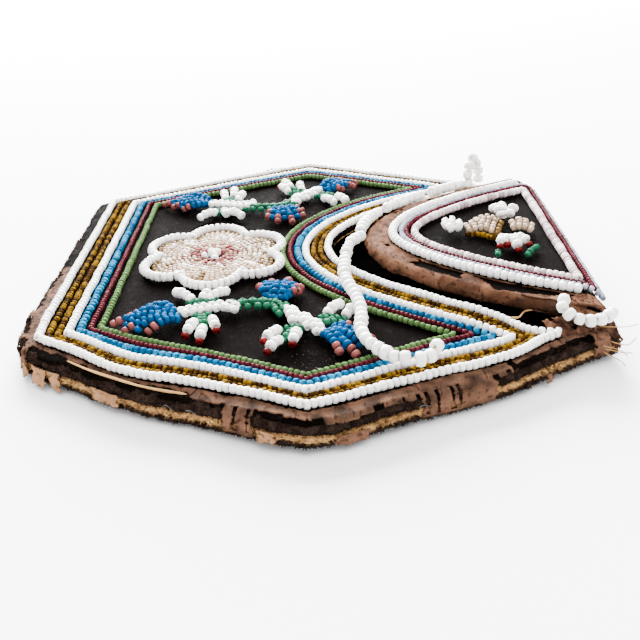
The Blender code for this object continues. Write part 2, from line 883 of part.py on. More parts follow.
def build_ribbons(material):
    left = (-LEFT_REACH, LEFT_HALF)
    peak = (0.0, PEAK_HALF)
    hinge = (HINGE_REACH, HINGE_HALF)
    body_ribbon("ribbon_left", material, (-LEFT_REACH, 0.0), left, (0.45, 0.85), -1)
    body_ribbon("ribbon_near_left", material, left, peak, (0.05, 0.27), -1)
    body_ribbon("ribbon_near_middle", material, left, peak, (0.74, 0.86), -1)
    body_ribbon("ribbon_near_right", material, peak, hinge, (0.30, 0.58), -1)
    body_ribbon("ribbon_near_corner", material, peak, hinge, (0.72, 0.86), -1)
    body_ribbon("ribbon_far", material, left, peak, (0.2, 0.75), 1)
    flap_ribbon(material)


# Flowers

def rosette_reach(angle, less):
    wave = abs(math.cos((angle - math.pi / ROSETTE_LOBES) * ROSETTE_LOBES / 2.0))
    return ROSETTE_IN + (ROSETTE_OUT - ROSETTE_IN) * wave ** 0.7 - less


def build_rosette(beads):
    count = ROSETTE_LOBES * LOBE_POINTS
    angles = [math.tau * k / count for k in range(count)]
    rim = [polar(ROSETTE, angle, rosette_reach(angle, 0.0)) for angle in angles]
    ridge("rosette_rim", beads["white"], rim, ROSETTE_RIM, front_top, True, height=PAD_HEIGHT)
    less = ROSETTE_RIM / 2.0 + 3.0 * GAP
    fill = [(angle, rosette_reach(angle, less)) for angle in angles]
    pad("rosette_petals", beads["crystal"], ROSETTE, fill, front_top, (1.0, 0.5, 0.0), ROSETTE_CENTRE + GAP)
    centre = [(math.tau * k / 12, ROSETTE_CENTRE) for k in range(12)]
    pad("rosette_centre", beads["pink"], ROSETTE, centre, front_top)


def build_branch(side, mirrored, beads):
    """The stem, buds and sprigs of one branch, drawn for the near side."""
    def at(x, y):
        return stretched(x, 2.0 * MOTIF_AXIS - y if mirrored else y)

    def star(name, colour, centre, core, tips, half_width):
        tips = [at(*tip) for tip in tips]
        outline = star_outline(at(*centre), core * FLOWER_SCALE, tips, half_width)
        pad(f"{side}_{name}", beads[colour], at(*centre), outline, front_top)

    def bar(name, colour, points, width):
        path = walked([at(*point) for point in points], ROW_STEP, False)
        ridge(f"{side}_{name}", beads[colour], path, width, front_top, False)

    star("collar_petals", "white", (-24.4, -28.2), SPRIG_CORE, [(-28.6, -24.4), (-20.3, -24.4)], PETAL_HALF)
    bar("stem", "green_stem", [(-24.4, -31.9), (-20.4, -32.4), (-12.0, -31.6), (-7.4, -32.2),
                               (-3.6, -35.8), (0.2, -40.0), (5.4, -41.2)], STEM_WIDTH)
    bar("white_stem", "white", [(-28.2, -35.4), (-15.4, -34.9)], WHITE_STEM_WIDTH)
    bar("white_diagonal", "white", [(-4.8, -39.2), (0.6, -45.8)], WHITE_STEM_WIDTH)
    star("sprig_left", "white", (-24.0, -39.0), SPRIG_CORE,
         [(-26.6, -47.2), (-22.9, -50.2), (-19.4, -45.8)], PETAL_HALF)
    star("sprig_middle", "white", (-4.6, -44.4), SPRIG_CORE,
         [(-9.8, -51.6), (-7.4, -55.6), (-3.0, -52.6)], PETAL_HALF)
    tip_x, tip_y = mouth_point(LEAF_ALONG, MOUTH_BORDER + LEAF_CLEARANCE)

    def leaf(x, y):
        far = tip_y + y * FLOWER_SCALE
        return tip_x + x * FLOWER_SCALE, far if mirrored else -far

    outline = star_outline(leaf(0.6, 5.9), SPRIG_CORE * FLOWER_SCALE, [leaf(-4.2, 0.7), leaf(0.0, 0.0)], PETAL_HALF)
    pad(f"{side}_leaf_pair", beads["white"], leaf(0.6, 5.9), outline, front_top)
    star("bud_left", "bud_blue", (-35.2, -38.2), 4.6,
         [(-37.6, -32.0), (-41.0, -34.8), (-42.4, -38.6), (-40.2, -41.4), (-36.0, -43.4)], BUD_TIP_HALF)
    star("bud_top", "bud_blue", (-8.0, -25.8), 3.8,
         [(-10.4, -20.6), (-7.4, -19.0), (-3.2, -20.8), (-2.2, -25.0)], BUD_TIP_HALF)
    star("bud_right", "bud_blue", (6.6, -50.4), 4.2,
         [(6.2, -57.0), (10.6, -56.8), (13.2, -53.0), (12.4, -48.6)], BUD_TIP_HALF)


def build_flap_flower(beads):
    def at(x, y):
        return FLAP_TIP + (x - 17.0) * FLAP_SCALE, y * FLAP_SCALE

    def star(name, colour, centre, core, tips):
        tips = [at(*tip) for tip in tips]
        outline = star_outline(at(*centre), core * FLAP_SCALE, tips, PETAL_HALF)
        pad(name, beads[colour], at(*centre), outline, flap_surface)

    star("flap_flower_centre", "crystal", (49.5, 1.5), 3.2, [(44.0, 1.6), (49.6, -4.0), (53.4, 5.6)])
    star("flap_bud_tip", "white", (40.6, 1.4), 2.2, [(37.6, 1.4)])
    star("flap_bud_near", "white", (52.4, -9.6), 2.2, [(50.6, -13.2), (54.6, -13.0)])
    star("flap_bud_far", "white", (54.4, 11.2), 2.2, [(56.4, 14.8), (52.8, 14.8)])
    star("flap_bud_hinge", "crystal", (57.4, 1.2), 2.6, [(60.4, 1.2)])


# Loose and standing strings of large beads

STRAND_ROUTE = (
    (15.0, -2.6, 14.5), (11.6, -6.6, 14.4), (10.4, -12.0, 14.4), (9.6, -18.0, 14.0), (9.2, -24.0, 13.7),
    (9.8, -30.0, 13.5), (11.6, -36.4, 13.4), (12.4, -42.6, 13.2), (12.4, -47.6, 12.9), (11.9, -52.6, 12.7),
    (13.2, -57.2, 12.4), (15.6, -60.6, 12.1), (18.4, -63.4, 11.9), (21.8, -64.2, 11.8), (25.2, -62.6, 11.8),
    (28.2, -58.8, 11.9))


def build_strand(material):
    """The strand that came off the flap's near side and lies over the front."""
    curve = bpy.data.curves.new("loose_strand", "CURVE")
    curve.dimensions = "3D"
    curve.bevel_depth = STRING_BEAD / 2.0 * MM
    curve.bevel_resolution = 2
    curve.use_fill_caps = True
    spline = curve.splines.new("POLY")
    spline.points.add(len(STRAND_ROUTE) - 1)
    for spot, point in zip(spline.points, STRAND_ROUTE):
        spot.co = (*(value * MM for value in point), 1.0)
    curve.materials.append(material)
    item = bpy.data.objects.new("loose_strand", curve)
    bpy.context.scene.collection.objects.link(item)


def build_strings(beads):
    build_strand(beads["white"])
    edge = STRING_BEAD / 2.0 + GAP + RIBBON + RIBBON_ROOM
    level = FLAP_TOP + 1.0
    last = flap_side_end(0.0, FOLD_START - LOOP_FROM_FOLD)
    side = [flap_side_point(2.0 + (last - 2.0) * k / 9, -edge) for k in range(10)]
    bead_string("flap_edge_string", beads["white"], [(x, y, level) for x, y in side])
    x, y = flap_side_point(last, FLAP_RIBBON_TOP / 2.0)
    foot = FLAP_TOP + 2.0 * GAP + RIBBON
    loop = [(x - 2.4, y - 2.0, foot), (x - 2.8, y - 2.2, foot + 5.0), (x - 1.2, y - 0.6, foot + 9.4),
            (x + 0.8, y + 1.2, foot + 5.2), (x + 1.0, y + 1.2, foot)]
    bead_string("standing_loop", beads["white"], smooth_route(loop, 3))
    x = HINGE_REACH
    y = -FLAP_FOOT_HALF
    drape = [(x - 12.1, y + 3.8, FLAP_TOP + 2.7), (x - 13.5, y + 0.8, FLAP_TOP + 1.9),
             (x - 12.6, y - 1.8, FLAP_TOP + 0.6), (x - 10.1, y - 3.7, RIM_TOP + 4.4),
             (x - 6.6, y - 4.0, RIM_TOP + 4.2), (x - 3.4, y - 2.2, RIM_TOP + 4.4), (x - 1.1, y + 1.0, RIM_TOP + 3.9)]
    bead_string("corner_loop", beads["white"], smooth_route(drape, 3))


def main():
    for item in list(bpy.data.objects):
        bpy.data.objects.remove(item, do_unlink=True)
    velvet = colour_material("velvet", (0.013, 0.010, 0.009), 0.95)
    interlining = colour_material("interlining", (0.42, 0.27, 0.12), 0.95)
    lining = colour_material("lining", (0.012, 0.010, 0.010), 0.8)
    ribbon = colour_material("ribbon", (0.30, 0.14, 0.085), 0.6)
    beads = {
        "white": colour_material("white_beads", (0.85, 0.83, 0.80), 0.25),
        "amber": colour_material("amber_beads", (0.35, 0.16, 0.02), 0.2),
        "blue": colour_material("border_blue_beads", (0.05, 0.30, 0.60), 0.25),
        "bud_blue": colour_material("bud_blue_beads", (0.0, 0.20, 0.60), 0.25),
        "burgundy": colour_material("burgundy_beads", (0.20, 0.02, 0.035), 0.25),
        "green": colour_material("border_green_beads", (0.28, 0.42, 0.18), 0.3),
        "green_stem": colour_material("stem_green_beads", (0.06, 0.30, 0.17), 0.3),
        "pale": colour_material("pale_beads", (0.55, 0.62, 0.66), 0.25),
        "crystal": colour_material("crystal_beads", (0.62, 0.50, 0.42), 0.2),
        "pink": colour_material("pink_beads", (0.60, 0.25, 0.25), 0.25),
    }
    build_back(velvet, interlining, lining)
    build_front(velvet, interlining, lining)
    build_seam_roll(velvet)
    build_flap(velvet, interlining, lining)
    build_ribbons(ribbon)
    build_front_rows(beads)
    build_flap_rows(beads)
    build_rosette(beads)
    build_branch("near", False, beads)
    build_branch("far", True, beads)
    build_flap_flower(beads)
    build_strings(beads)


main()
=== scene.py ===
"""Beaded velvet purse: the cloth, beadwork, worn binding and stage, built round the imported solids.

Sizes in the functions are in millimetres, in the part's own axes, and become metres when a mesh
is made. X runs to the hinge edge, Y from the near corner to the far one, and Z is up.
"""

import json
import math
import random

import bmesh
import bpy
import numpy as np
from mathutils import Matrix, Vector, noise

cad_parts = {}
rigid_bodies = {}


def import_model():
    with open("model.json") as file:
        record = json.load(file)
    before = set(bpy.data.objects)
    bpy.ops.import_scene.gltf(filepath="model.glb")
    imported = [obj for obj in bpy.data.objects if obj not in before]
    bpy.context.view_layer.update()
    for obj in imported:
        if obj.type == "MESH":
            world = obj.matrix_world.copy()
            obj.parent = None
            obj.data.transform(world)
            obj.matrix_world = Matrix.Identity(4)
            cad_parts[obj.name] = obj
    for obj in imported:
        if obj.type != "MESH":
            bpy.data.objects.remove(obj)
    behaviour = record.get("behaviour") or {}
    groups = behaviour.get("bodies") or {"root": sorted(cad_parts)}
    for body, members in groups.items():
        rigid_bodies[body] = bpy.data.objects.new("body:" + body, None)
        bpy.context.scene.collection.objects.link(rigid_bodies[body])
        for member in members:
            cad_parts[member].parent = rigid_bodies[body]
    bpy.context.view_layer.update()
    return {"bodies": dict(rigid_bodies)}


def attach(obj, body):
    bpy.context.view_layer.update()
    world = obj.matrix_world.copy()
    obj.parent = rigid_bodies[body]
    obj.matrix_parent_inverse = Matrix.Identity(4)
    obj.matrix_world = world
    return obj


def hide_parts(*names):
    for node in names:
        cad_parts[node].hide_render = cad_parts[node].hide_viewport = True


bl_info = {
    "name": "Beaded velvet purse",
    "version": (1, 0, 0),
    "blender": (4, 5, 0),
    "location": "View3D > Sidebar > Purse",
    "description": "Builds the cloth, beads, binding and stage of a flat beaded purse",
    "category": "Add Mesh",
}

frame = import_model()
BODY = next(iter(frame["bodies"]))

MM = 0.001
GAP = 0.3
RIBBON = 0.35
BEAD_FILL = 0.97
STRING_BEAD = 3.2

# Outline of the cloth, as in the solids
LEFT_REACH = 67.0
LEFT_HALF = 48.0
PEAK_HALF = 82.0
HINGE_REACH = 71.0
HINGE_HALF = 46.5
MOUTH_APEX = 6.8
MOUTH_SWEEP = 0.0242
FLAP_TIP = 17.0
FLAP_SWEEP = 0.0235
FOLD_RUN = 7.0
FOLD_START = HINGE_REACH - FOLD_RUN
FLAP_FOOT_HALF = 46.0

# Layers, from the table up
CLOTH = 1.0
STIFFENER = 0.5
LINING = 0.25
LIFT = 1.6
DISH_REACH = 20.0
DOME = 0.9
DOME_REACH = 38.0
LIP = 0.8
LIP_REACH = 16.0
FLAP_RISE = 4.8
BACK_RIM_TOP = LIFT + CLOTH
ROLL_BOTTOM = BACK_RIM_TOP + GAP + STIFFENER + GAP
ROLL_TOP = ROLL_BOTTOM + 1.8
RIM_TOP = ROLL_TOP + GAP + STIFFENER + GAP + CLOTH
FLAP_TOP = RIM_TOP + FLAP_RISE
FOLD_FOOT = BACK_RIM_TOP + GAP
MOTIF_AXIS = -0.5
ROSETTE = (-25.0, -2.9)


# Shape of the purse

def side_through(start, end):
    """A straight side as its outward normal (a, b) and offset c, for the half with y above 0."""
    run_x = end[0] - start[0]
    run_y = end[1] - start[1]
    length = math.hypot(run_x, run_y)
    a = -run_y / length
    b = run_x / length
    return a, b, a * start[0] + b * start[1]


LEFT_SIDE = (-1.0, 0.0, LEFT_REACH)
HINGE_SIDE = (1.0, 0.0, HINGE_REACH)
SLANT_LEFT = side_through((-LEFT_REACH, LEFT_HALF), (0.0, PEAK_HALF))
SLANT_RIGHT = side_through((0.0, PEAK_HALF), (HINGE_REACH, HINGE_HALF))
SEWN_SIDES = (LEFT_SIDE, SLANT_LEFT, SLANT_RIGHT)


def inset_of(side, x, y):
    return side[2] - side[0] * x - side[1] * abs(y)


def crossing(first, first_inset, second, second_inset):
    """Where two sides meet when each is moved inwards by its inset."""
    c_first = first[2] - first_inset
    c_second = second[2] - second_inset
    det = first[0] * second[1] - second[0] * first[1]
    return ((c_first * second[1] - c_second * first[1]) / det,
            (first[0] * c_second - second[0] * c_first) / det)


def soft_min(values):
    """The least of the values, rounded off where two of them are close."""
    return sum(max(value, 0.01) ** -4 for value in values) ** -0.25


def eased(share):
    """A soft step from 0 to 1."""
    share = min(max(share, 0.0), 1.0)
    return share * share * (3.0 - 2.0 * share)


def seam_distance(x, y):
    return soft_min([inset_of(side, x, y) for side in SEWN_SIDES])


def rim_distance(x, y):
    return soft_min([inset_of(side, x, y) for side in (*SEWN_SIDES, HINGE_SIDE)])


def mouth_distance(x, y):
    slope = 2.0 * MOUTH_SWEEP * y
    return (MOUTH_APEX + MOUTH_SWEEP * y * y - x) / math.hypot(1.0, slope)


def rough(x, y, scale, seed):
    """Smooth random value from -1 to 1 over the plane."""
    return noise.noise(Vector((x / scale + seed * 7.3, y / scale - seed * 3.1, seed)))


def rim_wave(x, y):
    """The cloth's gentle unevenness towards its rim, shared by all layers."""
    near = max(0.0, 1.0 - rim_distance(x, y) / 11.0)
    return near * near * rough(x, y, 15.0, 1.7) * 0.9


def pulled(x, y):
    """Where a point of the cloth lies, because the worn near edges have stretched outwards."""
    if y >= 0.0:
        return x, y
    near = math.exp(-((rim_distance(x, y) - 6.5) / 8.0) ** 2) * eased(-y / 30.0)
    left = 3.7 * math.exp(-((x + 37.0) / 12.0) ** 2)
    right = (1.2 + 2.6 * math.exp(-((x - 42.0) / 13.0) ** 2)) * eased(x / 14.0) * eased((66.0 - x) / 10.0)
    tip = math.exp(-((x - 53.0) ** 2 + (y + 46.0) ** 2) / 60.0)
    corner = math.exp(-((x + LEFT_REACH) ** 2 + (y + LEFT_HALF) ** 2) / 36.0)
    point = math.exp(-(x ** 2 + (y + PEAK_HALF) ** 2) / 26.0)
    return (x - 0.45 * near * left + 0.45 * near * right - 3.6 * tip + 1.4 * corner,
            y - 0.89 * near * (left + right) - 1.2 * tip + 1.6 * corner + 1.3 * point)


def back_bottom(x, y):
    return LIFT * (1.0 - min(rim_distance(x, y) / DISH_REACH, 1.0)) ** 2


def back_level(x, y, up):
    return back_bottom(x, y) + rim_wave(x, y) * 0.8 + up


def front_top(x, y):
    dome = eased(seam_distance(x, y) / DOME_REACH)
    lip = (1.0 - min(max(mouth_distance(x, y), 0.0) / LIP_REACH, 1.0)) ** 2
    return RIM_TOP + (DOME + LIP * lip) * dome + rim_wave(x, y) + 0.12 * rough(x, y, 8.0, 4.2)


FLAP_WHITE_INSET = 6.2


def flap_lift(x, y):
    """The flap's gentle unevenness."""
    return 0.22 * rough(x, y, 14.0, 9.4)


def flap_height(x, y):
    over = min(max((x - FOLD_START) / FOLD_RUN, 0.0), 0.999)
    lift = flap_lift(x, y)
    return FOLD_FOOT + (FLAP_TOP + lift - FOLD_FOOT) * math.sqrt(1.0 - over * over)


def slope_of(surface, x, y, step):
    """How fast a height or a distance grows along x and along y."""
    return ((surface(x + step, y) - surface(x - step, y)) / (2.0 * step),
            (surface(x, y + step) - surface(x, y - step)) / (2.0 * step))


def normal_of(surface, x, y):
    rise_x, rise_y = slope_of(surface, x, y, 0.25)
    return Vector((-rise_x, -rise_y, 1.0)).normalized()


def mouth_point(y, inset):
    """A point of the mouth's curved edge, moved into the cloth by the inset."""
    slope = 2.0 * MOUTH_SWEEP * y
    along = math.hypot(1.0, slope)
    return MOUTH_APEX + MOUTH_SWEEP * y * y - inset / along, y + inset * slope / along


def bisect(test, low, high):
    """The value between low and high up to which the test holds."""
    for _ in range(40):
        middle = (low + high) / 2.0
        if test(middle):
            low = middle
        else:
            high = middle
    return low


def mouth_end(mouth_inset, slant_inset):
    """How far along its edge the mouth has come at the slanted side."""
    return bisect(lambda y: inset_of(SLANT_RIGHT, *mouth_point(y, mouth_inset)) > slant_inset, 0.0, PEAK_HALF)


def mouth_limit(y, inset):
    """The x at which the cloth ends at the mouth, for this y."""
    return mouth_point(bisect(lambda value: mouth_point(value, inset)[1] < abs(y), 0.0, abs(y)), inset)[0]


def flap_side_point(y, inset):
    """A point of the flap's curved side, moved into the flap by the inset."""
    slope = 2.0 * FLAP_SWEEP * y
    along = math.hypot(1.0, slope)
    return FLAP_TIP + FLAP_SWEEP * y * y + inset / along, y - inset * slope / along


def flap_side_end(x, inset):
    """How far along its side the flap has come at this x."""
    return bisect(lambda y: flap_side_point(y, inset)[0] < x, 0.0, PEAK_HALF)


def flap_half(x, inset):
    return max(flap_side_point(flap_side_end(x, inset), inset)[1], 0.0)


# Shader expressions

class Wire:
    """A node's output that takes part in sums: each operator adds a Math node."""

    def __init__(self, finish, socket):
        self.finish = finish
        self.socket = socket

    def math(self, operation, *values):
        return self.finish.node("ShaderNodeMath", {"operation": operation}, dict(enumerate(values))).out()

    def __add__(self, other):
        return self.math("ADD", self, other)

    def __radd__(self, other):
        return self.math("ADD", other, self)

    def __rsub__(self, other):
        return self.math("SUBTRACT", other, self)

    def __mul__(self, other):
        return self.math("MULTIPLY", self, other)

    def __rmul__(self, other):
        return self.math("MULTIPLY", other, self)

    def above(self, level, spread):
        """0 below the level, 1 above it, with a soft step of the given spread."""
        settings = {"interpolation_type": "SMOOTHSTEP"}
        sockets = {"Value": self, "From Min": level - spread, "From Max": level + spread}
        return self.finish.node("ShaderNodeMapRange", settings, sockets).out()


class Node:
    """A shader node whose outputs are read as wires."""

    def __init__(self, finish, node):
        self.finish = finish
        self.node = node

    def out(self, name=0):
        return Wire(self.finish, self.node.outputs[name])


class Finish:
    """One material: its Principled shader and the nodes that feed it."""

    def __init__(self, name, **constants):
        self.material = bpy.data.materials.new(name)
        self.material.use_nodes = True
        self.tree = self.material.node_tree
        self.shader = self.tree.nodes["Principled BSDF"]
        for socket, value in constants.items():
            self.feed(socket.replace("_", " "), value)

    def node(self, kind, settings, sockets):
        made = self.tree.nodes.new(kind)
        for key, value in settings.items():
            setattr(made, key, value)
        for key, value in sockets.items():
            self.join(value, made.inputs[key])
        return Node(self, made)

    def join(self, value, socket):
        """Links a wire to a socket, or sets the socket to a plain value or colour."""
        if isinstance(value, Wire):
            self.tree.links.new(value.socket, socket)
        elif isinstance(value, (tuple, list)) and len(value) == 3 and len(socket.default_value) == 4:
            socket.default_value = (*value, 1.0)
        else:
            socket.default_value = value

    def feed(self, name, value):
        self.join(value, self.shader.inputs[name])

    def place(self, stretch=(1.0, 1.0, 1.0), turn=0.0):
        point = self.node("ShaderNodeTexCoord", {}, {}).out("Object")
        sockets = {"Vector": point, "Scale": stretch, "Rotation": (0.0, 0.0, turn)}
        return self.node("ShaderNodeMapping", {}, sockets).out()

    def grain(self, size, detail, place=None, roughness=0.5):
        """Noise whose lumps are about the given size in millimetres."""
        sockets = {"Vector": place or self.place(), "Scale": 1.0 / (size * MM), "Detail": detail,
                   "Roughness": roughness}
        return self.node("ShaderNodeTexNoise", {}, sockets).out()

    def tone(self):
        """The shade that each bead, fibre or stretch of silk has of its own; on the wrapped rim patches of silk
        it also carries a painted highlight.
        """
        return self.node("ShaderNodeAttribute", {"attribute_name": "tone"}, {}).out("Fac")

    def mixed(self, share, first, second):
        made = self.node("ShaderNodeMix", {"data_type": "RGBA"}, {0: share})
        self.join(first, made.node.inputs[6])
        self.join(second, made.node.inputs[7])
        return made.out(2)

    def bump(self, height, distance, strength=1.0):
        sockets = {"Height": height, "Distance": distance * MM, "Strength": strength}
        self.feed("Normal", self.node("ShaderNodeBump", {}, sockets).out())


def scaled(colour, share):
    return tuple(value * share for value in colour)


def bead_glass(name, dark, light, roughness, coat, patchy=0.0, painted_glint=None, gloss=0.0):
    """Glass beads, each with its own shade between dark and light, and a few painted highlights (glints) in a
    lighter colour.
    """
    finish = Finish(name, Coat_Weight=coat, Coat_Roughness=0.12, Specular_IOR_Level=gloss)
    tone = finish.tone()
    cloud = finish.grain(0.7, 2.0)
    share = tone * (1.0 - patchy) + cloud * patchy
    colour = finish.mixed(share, dark, light)
    if painted_glint:
        # Painted highlights: spots where the bead's tone and the clouding are both high take the glint colour.
        colour = finish.mixed((tone * 0.45 + cloud * 0.9).above(0.74, 0.07), colour, painted_glint)
    finish.feed("Base Color", colour)
    finish.feed("Roughness", roughness + 0.12 * cloud)
    finish.bump(finish.grain(0.35, 2.0), 0.02, 0.5)
    return finish.material


def velvet(name, dark, worn, wear=0.62, lift=2.0):
    """Cotton velvet: a dark pile in fine ribs, crushed in places, with threadbare browner spots."""
    finish = Finish(name, Specular_IOR_Level=0.01)
    pile = finish.grain(0.3, 4.0, roughness=0.7)
    rib = finish.grain(0.55, 2.0, finish.place((1.0, 0.12, 1.0)))
    crush = finish.grain(6.0, 4.0)
    bare = finish.grain(2.0, 5.0).above(wear, 0.08)
    colour = finish.mixed(crush, dark, scaled(dark, lift))
    colour = finish.mixed(bare * 0.45, colour, worn)
    speck = (pile * 0.75 + rib * 0.3).above(0.60, 0.06)
    colour = finish.mixed(speck * 0.4, colour, worn)
    finish.feed("Base Color", colour)
    finish.feed("Roughness", 0.98 - 0.12 * bare)
    finish.bump(pile + rib * 0.8 + crush * 1.6, 0.3)
    return finish.material


def raw_cloth(name, light, dark):
    """Unbleached interlining: frayed fibres, light on the strands, knobs and broad patches and dark between
    them, in the bump's hollows.
    """
    finish = Finish(name, Specular_IOR_Level=0.03)
    strand = finish.grain(0.6, 4.0, finish.place((0.3, 0.3, 2.0)), 0.65)
    knob = finish.grain(1.5, 3.0)
    patch = finish.grain(5.0, 3.0)
    share = (strand * 0.5 + knob * 0.75 + patch * 0.45).above(0.80, 0.17)
    finish.feed("Base Color", finish.mixed(share, dark, light))
    finish.feed("Roughness", 0.92 - 0.1 * strand)
    finish.bump(strand + knob * 1.5, 0.5)
    return finish.material


def silk(name, light, dark, fresh_and_highlight, patches=3.2):
    """Worn silk ribbon: fine ribs, soiled streaks, rubbed places, fresher pinkish silk where the tone is high,
    and in that colour a painted highlight on the bulge of the rim patches' wrapped folds.
    """
    finish = Finish(name, Specular_IOR_Level=0.0, Coat_Weight=0.015, Coat_Roughness=0.4)
    rib = finish.grain(0.3, 2.0, finish.place((1.0, 1.0, 0.3)))
    patch = finish.grain(patches, 5.0)
    streak = finish.grain(1.1, 4.0, finish.place((1.0, 0.35, 1.0), 0.5))
    colour = finish.mixed(patch.above(0.5, 0.2), dark, light)
    # Paler pinkish colour by tone: fresher silk in random places, and a painted highlight on the bulge of the
    # wrapped rim patches
    colour = finish.mixed(finish.tone() * (0.35 + 0.9 * streak), colour, fresh_and_highlight)
    colour = finish.mixed(streak.above(0.60, 0.07) * 0.75, colour, scaled(dark, 0.5))
    colour = finish.mixed(rib * 0.3, colour, dark)
    finish.feed("Base Color", colour)
    finish.feed("Roughness", 0.5 + 0.3 * patch)
    finish.bump(rib * 0.5 + streak + patch, 0.3)
    return finish.material


def tufted(name, dark, light):
    """Loose fibres, each with its own shade."""
    finish = Finish(name, Specular_IOR_Level=0.03)
    finish.feed("Base Color", finish.mixed(finish.tone(), dark, light))
    finish.feed("Roughness", 0.85 + 0.1 * finish.grain(0.4, 2.0))
    return finish.material


def plain_cloth(name, colour, size=0.5):
    """Black glazed cotton and sewing threads."""
    finish = Finish(name, Specular_IOR_Level=0.0)
    weave = finish.grain(size, 3.0)
    finish.feed("Base Color", finish.mixed(weave, scaled(colour, 0.6), colour))
    finish.feed("Roughness", 0.7 + 0.15 * weave)
    finish.bump(weave, 0.1)
    return finish.material


# Settings that a user would change

def length_setting(name, description, millimetres):
    return bpy.props.FloatProperty(name=name, description=description, default=millimetres * MM,
                                   min=0.0, unit="LENGTH", precision=5)


def colour_setting(name, description, colour):
    return bpy.props.FloatVectorProperty(name=name, description=description, default=colour, min=0.0,
                                         max=1.0, subtype="COLOR", size=3)


class PurseSizes(bpy.types.PropertyGroup):
    white_bead: length_setting("White bead", "Width of the beads of the white border rows", 2.05)
    amber_bead: length_setting("Amber bead", "Width of the amber beads", 1.5)
    blue_bead: length_setting("Blue bead", "Width of the blue border beads", 1.95)
    burgundy_bead: length_setting("Burgundy bead", "Width of the burgundy beads", 1.45)
    green_bead: length_setting("Green bead", "Width of the green border beads", 1.65)
    flap_bead: length_setting("Flap bead", "Width of the white beads round the flap", 2.5)
    string_bead: length_setting("String bead", "Width of the large beads of the loose strings", 3.2)
    ribbon_thickness: length_setting("Ribbon thickness", "Thickness of the silk binding", 0.25)
    fuzz_length: length_setting("Fuzz length", "Length of the velvet's loose fibres at the rim", 0.8)


class PurseColours(bpy.types.PropertyGroup):
    velvet: colour_setting("Velvet", "Pile of the velvet", (0.0007, 0.0004, 0.0003))
    velvet_worn: colour_setting("Worn velvet", "Velvet where the pile is gone", (0.0040, 0.0024, 0.0018))
    interlining: colour_setting("Interlining", "Raw tan cloth", (0.50, 0.27, 0.100))
    # Dark shade of the raw cloth, between its strands and knobs
    interlining_dark: colour_setting("Dark interlining", "Soiled raw cloth", (0.036, 0.0165, 0.0062))
    ribbon: colour_setting("Ribbon", "Silk binding", (0.058, 0.031, 0.0190))
    ribbon_dark: colour_setting("Dark ribbon", "Soiled silk binding", (0.017, 0.0092, 0.0064))
    # Paler pinkish silk, also used as the painted highlight on the bulge of the wrapped rim patches
    ribbon_light: colour_setting("Light ribbon", "Fresh inner side of the silk", (0.190, 0.090, 0.052))
    flap_ribbon: colour_setting("Flap ribbon", "Silk binding of the flap", (0.056, 0.0215, 0.0105))
    white: colour_setting("White", "Chalk white glass", (0.83, 0.815, 0.79))
    blue: colour_setting("Blue", "Blue glass of the border", (0.0, 0.062, 0.150))
    green: colour_setting("Green", "Green glass of the border", (0.058, 0.110, 0.034))


def sizes():
    return bpy.context.scene.purse_sizes


def shade(name):
    return tuple(getattr(bpy.context.scene.purse_colours, name))


# Glass by kind of bead: darkest and lightest shade, roughness, coat, share of clouding, and the colour of its
# painted highlights (glints)
GLASS = {
    "rosy_white": ((0.24, 0.165, 0.17), (0.74, 0.64, 0.64), 0.3, 0.2),
    # Amber: its last colour is a painted highlight, gold glints on the dark beads
    "amber": ((0.0062, 0.0026, 0.0006), (0.040, 0.0165, 0.0020), 0.25, 0.02, 0.5, (0.125, 0.064, 0.003)),
    "bud_blue": ((0.0, 0.024, 0.072), (0.0, 0.056, 0.165), 0.2, 0.05, 0.3),
    "burgundy": ((0.014, 0.0014, 0.0026), (0.070, 0.0080, 0.0130), 0.25, 0.05, 0.4),
    "stem_green": ((0.0025, 0.040, 0.018), (0.014, 0.105, 0.052), 0.25, 0.08, 0.35),
    "pale": ((0.11, 0.115, 0.145), (0.30, 0.31, 0.36), 0.2, 0.15),
    "crystal": ((0.115, 0.066, 0.036), (0.48, 0.355, 0.245), 0.2, 0.3, 0.35),
    "gold": ((0.040, 0.017, 0.003), (0.15, 0.085, 0.020), 0.2, 0.15, 0.3),
    "pink": ((0.090, 0.021, 0.019), (0.185, 0.054, 0.050), 0.25, 0.1, 0.2),
    "red": ((0.045, 0.0010, 0.0012), (0.105, 0.0030, 0.0034), 0.2, 0.15, 0.2),
}
FINISHES = {}


def finish_of(name):
    """A material by name, made when it is first asked for."""
    if name not in FINISHES:
        FINISHES[name] = make_finish(name)
    return FINISHES[name]


